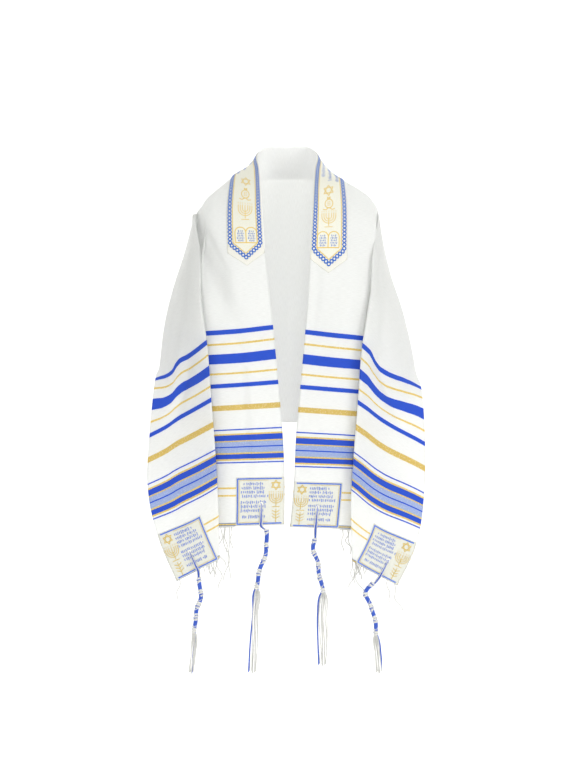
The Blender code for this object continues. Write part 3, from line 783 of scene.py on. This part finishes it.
def yarn_material(name, colour, other, pitch, roughness, sheen):
    """Mottled yarn: a plain weave, or thread with fine lines across each stroke."""
    nodes = Nodes(name, roughness, sheen)
    along, across = nodes.flat()
    if name.endswith("weave"):
        place = nodes.vector(along, across)
        mottle = nodes.grey_ramp(nodes.noise(place, scale=700.0), 0.35, 0.65)
        fibres = nodes.times(nodes.noise(place, scale=2400.0, detail=1.0), 0.7)
        relief = nodes.plus(nodes.weave(along, across, pitch * MM), fibres)
        nodes.bump(relief, distance=0.15 * MM, strength=0.5)
    else:
        mottle = nodes.noise(nodes.vector(along, nodes.times(across, 0.3)), scale=900.0)
        mottle = nodes.grey_ramp(mottle, 0.3, 0.7)
        slanted = nodes.plus(along, nodes.times(across, 0.5))
        lines = nodes.math("SINE", nodes.times(slanted, 2 * math.pi / (pitch * MM)))
        nodes.bump(lines, distance=0.1 * MM, strength=0.8)
    nodes.colour(nodes.mix(mottle, colour, other))
    return nodes.material


# (name, two colours that mottle, pitch of the weave or twist in mm, roughness, sheen)
YARNS = (
    ("backing_weave", (0.67, 0.66, 0.61), (0.61, 0.60, 0.555), 0.9, 0.85, 0.1),
    ("ribbon_weave", (0.70, 0.685, 0.595), (0.60, 0.60, 0.53), 0.7, 0.75, 0.1),
    ("patch_weave", (0.64, 0.635, 0.57), (0.55, 0.56, 0.52), 0.9, 0.8, 0.1),
    ("blue_thread", (0.018, 0.105, 0.44), (0.032, 0.135, 0.51), 0.6, 0.6, 0.05),
    ("pale_blue_thread", (0.06, 0.15, 0.62), (0.12, 0.22, 0.68), 0.6, 0.65, 0.05),
    ("gold_thread", (0.6, 0.41, 0.06), (0.7, 0.52, 0.13), 0.6, 0.55, 0.05),
    ("cream_thread", (0.86, 0.84, 0.76), (0.80, 0.78, 0.70), 0.5, 0.7, 0.1),
    # The white strings: the mottle of two greys is their twist, and the grey darker than white wool
    # is painted shade on the thin threads
    ("white_string_painted_shade", (0.74, 0.74, 0.72), (0.60, 0.60, 0.58), 0.7, 0.75, 0.2),
    ("blue_string", (0.028, 0.085, 0.5), (0.045, 0.13, 0.6), 0.7, 0.6, 0.2),
)
MATERIALS = {row[0]: yarn_material(*row) for row in YARNS}
MATERIALS["shawl_weave"] = cloth_material()


# ------------ motifs

# A motif is a list of lines round (0, 0).

def arc(centre, radius, start, end, count=12):
    """Places on a circle's arc, angles in degrees."""
    angles = np.radians(np.linspace(start, end, count))
    return np.array(centre) + radius * np.stack([np.cos(angles), np.sin(angles)], axis=1)


def both_ways(line):
    """The line's mirror image on the left, and the line."""
    return [np.array(line) * (way, 1) for way in (-1, 1)]


def star():
    """A six-pointed star of two triangles."""
    return [arc((0, 0), 1, turn, turn + 360, 4) for turn in (90, 270)]


def menorah():
    """A plain seven-branched lamp that stands on a foot."""
    lines = [[(0, -0.62), (0, 0.5)]]
    for reach in (0.24, 0.42, 0.60):
        lines += [arc((0, 0.22), reach, 180, 360)] + both_ways([(reach, 0.22), (reach, 0.5)])
    for branch in range(-3, 4):
        place = 0.06 * np.sign(branch) + 0.18 * branch
        lines.append([(place, 0.60), (place, 0.68)])
    return lines + [[(-0.34, -0.70), (0.34, -0.70)]]


def pomegranate():
    """A round fruit with a crown, two leaves and seeds."""
    lines = [arc((0, -0.1), 0.62, 90, 450, 22),
             [(-0.12, 0.52), (-0.26, 0.86), (0, 0.66), (0.26, 0.86), (0.12, 0.52)]]
    lines += both_ways([(0.1, -0.74), (0.5, -0.98), (0.92, -0.86)])
    for row in (-0.34, -0.1, 0.14):
        lines += [[(-0.22, row), (-0.06, row)], [(0.06, row), (0.22, row)]]
    return lines


def wheat():
    """An ear of wheat with paired grains."""
    lines = [[(0, -1), (0, 0.9)]]
    for low in (-0.40, 0.02, 0.44):
        lines += both_ways([(0.06, low), (0.52, low + 0.26)])
    return lines


def tablets(width, height):
    """Two round-topped tablets side by side."""
    half = width / 2
    low = -height / 2
    lines = []
    for middle in (-half / 2, half / 2):
        top = arc((middle, height / 2 - half / 2), half / 2, 0, 180, 14)
        lines.append(np.vstack([[(middle + half / 2, low)], top,
                                [(middle - half / 2, low), (middle + half / 2, low)]]))
    return lines


def placed(lines, size, centre):
    """A motif's lines at a size and a place."""
    return [np.array(line) * size + centre for line in lines]


# ------------ the shawl and its patches

CLOTH_TOP = CLOTH_THICKNESS / 2
TRIM_THICKNESS = 0.6
PATCH_SIZE = 100
PATCH_LIFT = CLOTH_TOP + 0.2
PATCH_TOP = PATCH_LIFT + TRIM_THICKNESS

# Rows of dashes on a patch, in mm above the hem: (height, share of the row that is filled)
PATCH_ROWS = ((86, 0.80), (77.5, 0.86), (69, 0.84), (60.5, 1.00), (48, 0.92), (39.5, 0.90),
              (31, 0.82), (18.5, 0.88))
ROW_START = 35.0
ROW_LENGTH = 54.0


def make_cloth():
    along = np.broadcast_to(DRAPE_ALONG[:, None], DRAPE_COLUMNS.shape)
    flat = np.stack([along, DRAPE_COLUMNS], axis=2)
    piece = cloth_grid("shawl_cloth_draped", flat, 0.0, CLOTH_THICKNESS, 0.0)
    return dress(piece, "shawl_weave", "cloth", "shawl_cloth")


def make_patch(side, side_name, place_name):
    """One corner patch with its border, dashes, motifs and stitching."""
    def to_flat(places):
        """Flat places of (from the open edge, from the hem)."""
        places = np.asarray(places, dtype=float)
        across = places[..., 0] if place_name == "inner" else CLOTH_WIDTH - places[..., 0]
        return np.stack([side * (HALF_LENGTH - places[..., 1]), across], axis=-1)

    size = PATCH_SIZE
    steps = np.linspace(1, size, 33)
    ground = to_flat(np.stack(np.meshgrid(steps, steps, indexing="ij"), axis=-1))
    starts_at_edge = (side < 0) != (place_name == "inner")
    if starts_at_edge:
        ground = ground[::-1]
    name = f"corner_patch_{place_name}_{side_name}"
    patch = cloth_grid(name + "_ground", ground, PATCH_LIFT, TRIM_THICKNESS)
    dress(patch, "patch_weave", "patch", name)

    blue, gold, cream = (Stitching(PATCH_TOP) for _ in range(3))
    far = size - 3.2
    border = to_flat([(6, far), (far, far), (far, 4.2), (6, 4.2)])
    blue.chain(border, width=3.2, link=3.1, thread=1.4, height=0.25)
    far = size - 6.4
    inside = to_flat([(34, far - 0.2), (far, far - 0.2), (far, 7.4), (34, 7.4)])
    gold.beads(inside, width=0.9, step=2.2, height=0.15)
    for number, (level, fill) in enumerate(PATCH_ROWS):
        start = ROW_START + (0 if starts_at_edge else ROW_LENGTH * (1 - fill))
        blue.dash_row(start, start + ROW_LENGTH * fill, number, level, 5.2, to_flat)
    gold.motif(placed(star(), 10.5, (18, 83)), to_flat, width=1.5, height=0.2)
    lines = placed(menorah(), 23.0, (18, 54)) + placed(wheat(), 15.0, (18, 20))
    gold.motif(lines, to_flat, width=1.25, height=0.2)
    far = size - 1.2
    rim = to_flat([(2.2, 2.4), (far, 2.4), (far, far), (2.2, far), (2.2, 2.4)])
    cream.seam(rim, dash=2.0, gap=0.9)
    pieces = [blue.build(name + "_blue_stitching", "pale_blue_thread", "patch"),
              gold.build(name + "_gold_stitching", "gold_thread", "patch"),
              cream.build(name + "_edge_stitching", "cream_thread", "patch")]


# ------------ the neckband

# How far the band's middle lies from the nape, to the right
BAND_MIDDLE = 5.0
# (inner edge, outer edge, half of the straight length, half length to the tips)
BACKING_SIZES = (1.0, 78.0, 361.0, 387.0)
RIBBON_SIZES = (3.0, 76.0, 346.0, 377.0)
# Distances from the nape of the star, fruit, lamp and tablets on each front
MOTIF_ACROSS = 37.0
BAND_MOTIFS = {-1: (200, 231, 268, 319), 1: (224, 251, 284, 328)}
TABLET_DASHES = (4.0, 6.0, 5.0, 6.5, 4.5)
# Rows of dashes behind the neck: (start, end, across)
NAPE_ROWS = ((-166, 203, 58.0), (-150, 196, 41.0), (-120, 180, 24.0))
BACKING_LIFT = CLOTH_TOP + 0.2
BACKING_TOP = BACKING_LIFT + TRIM_THICKNESS
RIBBON_LIFT = BACKING_TOP + 0.15
RIBBON_TOP = RIBBON_LIFT + TRIM_THICKNESS


def band_grid(sizes, rows=261, columns=27):
    """Flat places of the band: its rows shorten towards its edges at the pointed ends."""
    inner, outer, straight, tip = sizes
    across = np.linspace(inner, outer, columns)
    middle = (inner + outer) / 2
    reach = tip - (tip - straight) * np.abs(across - middle) / (outer - middle)
    along = BAND_MIDDLE + np.linspace(-1, 1, rows)[:, None] * reach[None, :]
    return np.stack([along, np.broadcast_to(across, along.shape)], axis=2)


def band_corners(sizes, margin):
    """The band's outline, drawn in by a margin, as a closed line of flat places."""
    inner, outer, straight, tip = sizes
    middle = (inner + outer) / 2
    reach = (outer - inner) / 2
    slant = math.hypot(reach, tip - straight) / reach
    straight -= margin * (slant - (tip - straight) / reach)
    tip -= margin * slant
    inner += margin
    outer -= margin
    places = [(-straight, inner), (straight, inner), (tip, middle), (straight, outer),
              (-straight, outer), (-tip, middle), (-straight, inner)]
    return np.array(places) + (BAND_MIDDLE, 0.0)


def add_band_motifs(blue, gold, side):
    """The motifs on one front, which stand upright as the band hangs."""
    def to_flat(places):
        return np.asarray(places, dtype=float)[..., ::-1] * (side, 1)

    def upright(lines, size, along):
        return placed(lines, (size, -size), (MOTIF_ACROSS, along))

    star_at, fruit_at, lamp_at, tablets_at = BAND_MOTIFS[side]
    for width, lines in (
            (1.7, upright(star(), 12.5, star_at) + upright(pomegranate(), 14.0, fruit_at)),
            (1.4, upright(menorah(), 25.0, lamp_at)),
            (2.0, upright(tablets(46, 33), 1.0, tablets_at))):
        gold.motif(lines, to_flat, width, 0.25)
    for middle in (MOTIF_ACROSS - 11.5, MOTIF_ACROSS + 11.5):
        for row, reach in enumerate(TABLET_DASHES):
            level = tablets_at - 8.0 + 5.0 * row
            blue.dash(middle - reach, middle + reach, level, 3.2, to_flat)


def make_neckband():
    backing = cloth_grid("neckband_backing_cloth", band_grid(BACKING_SIZES), BACKING_LIFT,
                         TRIM_THICKNESS)
    dress(backing, "backing_weave", "backing", "neckband_backing")
    ribbon = cloth_grid("neckband_ribbon_cloth", band_grid(RIBBON_SIZES), RIBBON_LIFT,
                        TRIM_THICKNESS)
    dress(ribbon, "ribbon_weave", "ribbon", "neckband_ribbon")

    blue, gold, cream = map(Stitching, (RIBBON_TOP, RIBBON_TOP, BACKING_TOP))
    blue.chain(band_corners(RIBBON_SIZES, 5.0), width=9.8, link=7.4, thread=2.5, height=0.3)
    gold.beads(band_corners(RIBBON_SIZES, 11.2), width=2.2, step=2.6, height=0.2)
    cream.seam(band_corners(BACKING_SIZES, 1.0), dash=2.2, gap=1.0)
    for side in (-1, 1):
        add_band_motifs(blue, gold, side)
    for number, (start, end, across) in enumerate(NAPE_ROWS):
        blue.dash_row(start, end, 3 * number, across, 7.5, np.asarray)
    pieces = [blue.build("neckband_blue_stitching", "blue_thread", "ribbon"),
              gold.build("neckband_gold_stitching", "gold_thread", "ribbon")]
    seam = cream.build("neckband_edge_stitching", "cream_thread", "backing")


# ------------ threads

def route_frames(route):
    """Two side directions along a route, turned as little as possible."""
    tangents = directions(route)
    side = np.cross(tangents[0], (0.0, 1.0, 0.0))
    if np.linalg.norm(side) < 0.1:
        side = np.cross(tangents[0], (1.0, 0.0, 0.0))
    sides = np.empty_like(route)
    for number, tangent in enumerate(tangents):
        side = side - tangent * (side @ tangent)
        side = side / np.linalg.norm(side)
        sides[number] = side
    return sides, np.cross(tangents, sides)


def around(frames, phase):
    """Directions across a route at angles from its frames."""
    return frames[0] * np.cos(phase)[..., None] + frames[1] * np.sin(phase)[..., None]


def even_route(route, step):
    """A 3-D route on a smooth curve through its places, in even steps."""
    route = np.asarray(route, dtype=float)
    keys = reach_along(route)
    dense = curve_through(keys, route, np.linspace(0, keys[-1], 12 * len(route)))
    return even_line(dense, max(3, int(round(reach_along(dense)[-1] / step)) + 1))[0]


def add_tube(parts, route, radius, sides=6):
    """A tube along a route; radius may differ at each place."""
    angles = np.linspace(0, 2 * math.pi, sides, endpoint=False)
    radius = np.broadcast_to(radius, len(route))[:, None, None]
    ring = around([frame[:, None] for frame in route_frames(route)], angles)
    points = route[:, None] + ring * radius
    marks = strip_places(route, angles * 0.4)
    parts.add(points[:, ::-1], marks[:, ::-1], around=True)
    for end, cap in ((0, points[0][::-1]), (-1, points[-1])):
        tip = np.broadcast_to(route[end], cap.shape)
        parts.add(np.stack([tip, cap]), np.stack([marks[end]] * 2), around=True)


def add_twist(parts, route, radius, pitch, start=0.0, taper=True):
    """A two-ply thread: two strands wound round each other."""
    route = even_route(route, pitch / 9)
    frames = route_frames(route)
    reach = reach_along(route)
    shrink = np.clip((reach[-1] - reach) / (2 * radius), 0.35, 1.0) if taper else 1.0
    for turn in (0.0, math.pi):
        strand = route + around(frames, reach / pitch * 2 * math.pi + turn + start) * radius * 0.5
        add_tube(parts, strand, radius * 0.56 * shrink, 5)


def add_coil(parts, route, radius, thread, pitch, start=0.0, cross=0.0):
    """A thread wound round a route; cross makes the turns wander as in a knot."""
    turns = max(1.0, reach_along(route)[-1] / pitch)
    path, _ = even_line(route, int(turns * 14))
    phase = np.linspace(0, turns * 2 * math.pi, len(path)) + start
    shift = cross * np.sin(phase * 0.5 + 0.7)[:, None] * directions(path)
    add_tube(parts, path + around(route_frames(path), phase) * radius + shift, thread)


STRAND_RADIUS = 1.25
BLUE_STRAND_RADIUS = 1.35 * STRAND_RADIUS
CORE_RADIUS = 3.1
# As in the solids: the eye's flat place, the wound part's route (x, up), the tails (leftmost x,
# rightmost x, up), and which strand from the left is blue
TASSELS = {
    "tzitzit_outer_left": (
        (-872, 559), ((-181, -818), (-178, -861), (-184, -886), (-191, -929)),
        ((-194, -186, -933), (-198, -188, -975), (-202, -191, -1013)), 5),
    "tzitzit_inner_left": (
        (-870, 48), ((-42, -719), (-42, -758), (-54, -799), (-63, -842)),
        ((-68, -57, -846), (-72, -60, -890), (-77, -59, -948), (-79, -62, -1013)), 0),
    "tzitzit_inner_right": (
        (869, 53), ((58, -738), (54, -754), (61, -785), (74, -848)),
        ((68, 80, -852), (60, 82, -896), (61, 84, -945), (65, 82, -998)), 0),
    "tzitzit_outer_right": (
        (873, 568), ((178, -829), (160, -849), (174, -879), (182, -936)),
        ((177, 187, -940), (179, 192, -975), (181, 195, -1013)), 7),
}
PATH_STEPS = 160
# Shares of the wound part's length where each knot lies, with windings between them
KNOT_SHARES = (0.03, 0.27, 0.50, 0.73, 0.96)
KNOT_HALF = 5.4
KNOT_JOG = 1.8
# The loop's four strands: how far aside each lies, and the shares of their way
LOOP_OFFSETS = (-2.7, -0.9, 0.9, 2.7)
LOOP_SHARES = (0.0, 0.18, 0.45, 0.75, 1.0)
BLUE_LOOPS = (1, 2)


def wind_core(white, blue, path, length):
    """The windings and knots round a tassel's core."""
    def stretch(start, end):
        first, last = (int(round(share * (PATH_STEPS - 1))) for share in (start, end))
        return path[max(0, first):last + 1]

    half = KNOT_HALF / length
    for number, (here, after) in enumerate(zip(KNOT_SHARES[:-1], KNOT_SHARES[1:])):
        part = stretch(here + half * 0.8, after - half * 0.8)
        add_coil(blue, part, CORE_RADIUS + 0.6, thread=0.88, pitch=1.7, start=number * 1.3)
        add_coil(white, part, CORE_RADIUS + 1.3, thread=0.7, pitch=21, start=number * 2.6 + 1.0)
    for number, knot in enumerate(KNOT_SHARES):
        add_coil(white, stretch(knot - half, knot + half), CORE_RADIUS + 1.2, thread=1.6,
                 pitch=2.9, start=number * 2.1, cross=1.5)
        add_coil(blue, stretch(knot - 0.2 * half, knot + half), CORE_RADIUS + 1.7, thread=0.85,
                 pitch=6.5, start=number * 1.7 + 0.4, cross=0.8)


def add_loop(white, blue, eye, hem, start):
    """The strands from the core to the eyelet, in front of the cloth and behind it."""
    for face, top in ((1, PATCH_TOP + 1.0), (-1, CLOTH_TOP + 1.0)):
        for number, aside in enumerate(LOOP_OFFSETS):
            strand = [start + (aside * 0.7, -face * 1.2, -3.0)]
            for share in LOOP_SHARES:
                arch = face * 0.5 * math.sin(math.pi * share)
                lift = top + arch if share < 1 else 0.25 * top
                place = cloth_place((hem + (eye[0] - hem) * share, eye[1]), face * lift)
                strand.append(place + (aside * (1 - 0.75 * share), 0, 0))
            parts = blue if number in BLUE_LOOPS and face > 0 else white
            add_twist(parts, strand, 1.05, pitch=5.0, start=number * 0.8, taper=False)


def add_tails(white, blue, tails, blue_number, end, hem_back):
    """The eight strands that hang from the core's end, each with a small knot."""
    for number in range(8):
        column, row = divmod(number, 2)
        share = (column + 0.25 + 0.5 * row) / 4
        back = hem_back + (row - 0.5) * 2.6
        strand = [end + ((share - 0.5) * 3.5, (row - 0.5) * 1.6, 2)]
        for step, (left, right, up) in enumerate(tails):
            sway = 1.3 * math.sin(1.9 * number + 1.3 * step) * (step > 0)
            ahead = 1.2 * math.sin(2.3 * number + step) * (step > 0)
            shorter = 3.0 * math.sin(5.1 * number) * (step == len(tails) - 1)
            strand.append((left + (right - left) * share + sway, back + ahead, up - shorter))
        is_blue = number == blue_number
        parts, radius = (blue, BLUE_STRAND_RADIUS) if is_blue else (white, STRAND_RADIUS)
        add_twist(parts, strand, radius, pitch=5.4, start=number * 1.1)
        add_coil(parts, even_route(strand, 2)[-4:], 0.9, thread=0.75, pitch=1.8, start=number,
                 cross=0.4)


def make_tassel(name):
    """One knotted corner tassel with its eyelet."""
    eye, route, tails, blue_number = TASSELS[name]
    eye = np.array(eye, dtype=float)
    route = np.array(route, dtype=float)
    hem = math.copysign(HALF_LENGTH, eye[0])
    hem_back = cloth_place((hem, eye[1]), 0.0)[BACK]
    x, up = curve_through(-route[:, 1], route, -np.linspace(route[0, 1], route[-1, 1], 40)).T
    path, length = even_line(np.stack([x, np.full(len(x), hem_back), up], axis=1), PATH_STEPS)
    share = np.linspace(0.0, 1.0, PATH_STEPS)
    path[:, OUT] += KNOT_JOG * np.sin(share * 4 * math.pi + eye[1] * 0.04) * np.sin(share * math.pi)

    white, blue, eyelet = MeshParts(), MeshParts(), Stitching(PATCH_TOP)
    add_tube(white, path, CORE_RADIUS, 10)
    wind_core(white, blue, path, length)
    add_loop(white, blue, eye, hem, path[0])
    add_tails(white, blue, tails, blue_number, path[-1], hem_back)
    for radius, width, height, count in ((3.0, 1.5, 0.35, 40), (1.1, 2.2, 0.05, 24)):
        eyelet.stroke(eye + arc((0, 0), radius, 0, 360, count)[:, ::-1], width, height)
    eyelet.build(name + "_eyelet", "cream_thread", "patch")
    blue.build(name + "_blue_strings", "blue_string", "tzitzit")
    white.build(name + "_white_strings", "white_string_painted_shade", "tzitzit", name)


# Hem fringe
FRINGE_FIRST = 102
FRINGE_LAST = 500
FRINGE_SPACING = 13
FRINGE_LENGTH = 46
FRINGE_RADIUS = 1.15
# Longer loose threads of each side: (across, length, sway, curl)
STRAY_THREADS = {
    -1: ((113, 108, 0, 2.5), (122, 112, 6, 8), (131, 82, 2, 10), (498, 66, 8, 6),
         (603, 44, -10, 3)),
    1: ((118, 40, 4, 5), (470, 52, -6, 5), (484, 78, 20, 5), (492, 60, -4, 6), (499, 50, 2, 4),
        (586, 46, 8, 3), (604, 54, 14, 4)),
}


def add_hanging_thread(parts, root, length, sway, curl, number):
    """A thread that hangs from its root, curls and swings aside."""
    strand = [root]
    for step in range(1, 9):
        part = step / 8
        aside = sway * part * part + curl * math.sin(8.0 * part + 1.9 * number) * min(1.0, 2 * part)
        ahead = 1.4 * math.sin(2.2 * part + number)
        strand.append(root + np.array((aside, ahead, -length * part)))
    add_twist(parts, strand, FRINGE_RADIUS, pitch=4.6, start=number * 0.9)


def make_fringe(name, side):
    """Loose twisted threads from a whipped hem edge."""
    hem = side * HALF_LENGTH
    parts = MeshParts()
    edge = np.stack([np.full(240, hem), np.linspace(FRINGE_FIRST, FRINGE_LAST, 240)], axis=1)
    line = cloth_place(edge, 0.0)
    above = cloth_place(edge - (side * 20, 0.0), 0.0)
    down = (line - above) / np.linalg.norm(line - above, axis=1, keepdims=True)
    add_twist(parts, line + down * 1.2, radius=1.0, pitch=3.4)
    places = np.arange(FRINGE_FIRST + FRINGE_SPACING / 2, FRINGE_LAST - 1.5, FRINGE_SPACING)
    threads = [(across, FRINGE_LENGTH * (1 + 0.14 * math.sin(1.7 * number)),
                5 * math.sin(2.4 * number), 2.6, number) for number, across in enumerate(places)]
    threads += [(*thread, 1.7 * number) for number, thread in enumerate(STRAY_THREADS[side])]
    for across, *shape in threads:
        add_hanging_thread(parts, cloth_place((hem, across), 0.0), *shape)
    return parts.build(name + "_strings", "white_string_painted_shade", "fringe", name)


# ------------ stage, in metres

FLOOR_UP = -1.45
FLOOR_FRONT = -8.0
FLOOR_HALF = 9.0
WALL_BACK = 7.5
WALL_TOP = 6.0
WALL_BEND = 1.5
BEND_START = -84.27
# The floor glows like a light table behind the shawl: (from, to, glow before, glow behind)
FLOOR_GLOW = (0.5, 1.05, 0.0, 0.3)
ROOM_LIGHT = 0.77
CAMERA_PLACE = (0.002, -3.71, -0.422)
CAMERA_LENS = 109.8
# Where every lamp aims
MIDDLE = (0.0, 0.0, -0.45)
# (name, place, size, power, share of blue); the key light stands close to the camera's line
LAMPS = (
    ("key_light", (0.2, -4.9, -0.8), 0.8, 31, 0.98),
    ("right_light", (3.0, -3.0, 1.0), 2.4, 86, 0.985),
    ("left_light", (-3.0, -3.0, 1.0), 2.4, 44, 0.98),
    ("back_light_right", (1.6, 2.1, 1.6), 1.4, 36, 0.96),
    ("back_light_left", (-1.6, 2.1, 1.6), 1.4, 31, 0.96),
)


def make_floor():
    """A plain pale floor that curves up into a wall far behind."""
    bend = arc((WALL_BACK - WALL_BEND, FLOOR_UP + WALL_BEND), WALL_BEND, BEND_START, 0)
    profile = [(FLOOR_FRONT, FLOOR_UP), (WALL_BACK - WALL_BEND, FLOOR_UP), *bend,
               (WALL_BACK, WALL_TOP)]
    points = np.array([[(x, back, up) for x in (-FLOOR_HALF, FLOOR_HALF)] for back, up in profile])
    floor = add_mesh("studio_floor", points / MM, grid_quads(len(profile), 2)[:, ::-1])
    nodes = Nodes("studio_floor", 0.9, specular=0.1)
    nodes.colour((0.93, 0.93, 0.93))
    nodes.connect((1.0, 1.0, 1.0), nodes.shader.inputs["Emission Color"])
    place = nodes.node("NewGeometry").outputs["Position"]
    back = nodes.node("SeparateXYZ", place).outputs[1]
    glow = nodes.node("MapRange", back, *FLOOR_GLOW).outputs[0]
    nodes.connect(glow, nodes.shader.inputs["Emission Strength"])
    floor.data.materials.append(nodes.material)


def make_stage():
    """The floor, even room light, soft lamps and the camera."""
    make_floor()
    scene = bpy.context.scene
    scene.world = bpy.data.worlds.new("studio")
    scene.world.use_nodes = True
    background = scene.world.node_tree.nodes["Background"]
    background.inputs["Color"].default_value = (1.0, 1.0, 0.97, 1.0)
    background.inputs["Strength"].default_value = ROOM_LIGHT

    for name, place, size, power, share_of_blue in LAMPS:
        light = bpy.data.lights.new(name, "AREA")
        light.shape = "DISK"
        light.size = size
        light.energy = power
        light.color = (1.0, 1.0, share_of_blue)
        lamp = add_object(name, light)
        lamp.location = place
        ahead = np.array(MIDDLE) - place
        lamp.rotation_euler = (math.atan2(math.hypot(ahead[0], ahead[1]), -ahead[2]), 0.0,
                               math.atan2(-ahead[0], ahead[1]))

    camera = bpy.data.cameras.new("camera")
    camera.sensor_fit = "HORIZONTAL"
    camera.sensor_width = 36.0
    camera.lens = CAMERA_LENS
    view = add_object("camera", camera)
    view.location = CAMERA_PLACE
    view.rotation_euler = (math.pi / 2, 0.0, 0.0)
    scene.camera = view
    scene.view_settings.view_transform = "Standard"


make_stage()
cloth = make_cloth()
for side_name, side in (("left", -1), ("right", 1)):
    for place_name in ("inner", "outer"):
        make_patch(side, side_name, place_name)
make_neckband()
for tassel in TASSELS:
    make_tassel(tassel)
fringes = [make_fringe("hem_fringe_left", -1), make_fringe("hem_fringe_right", 1)]
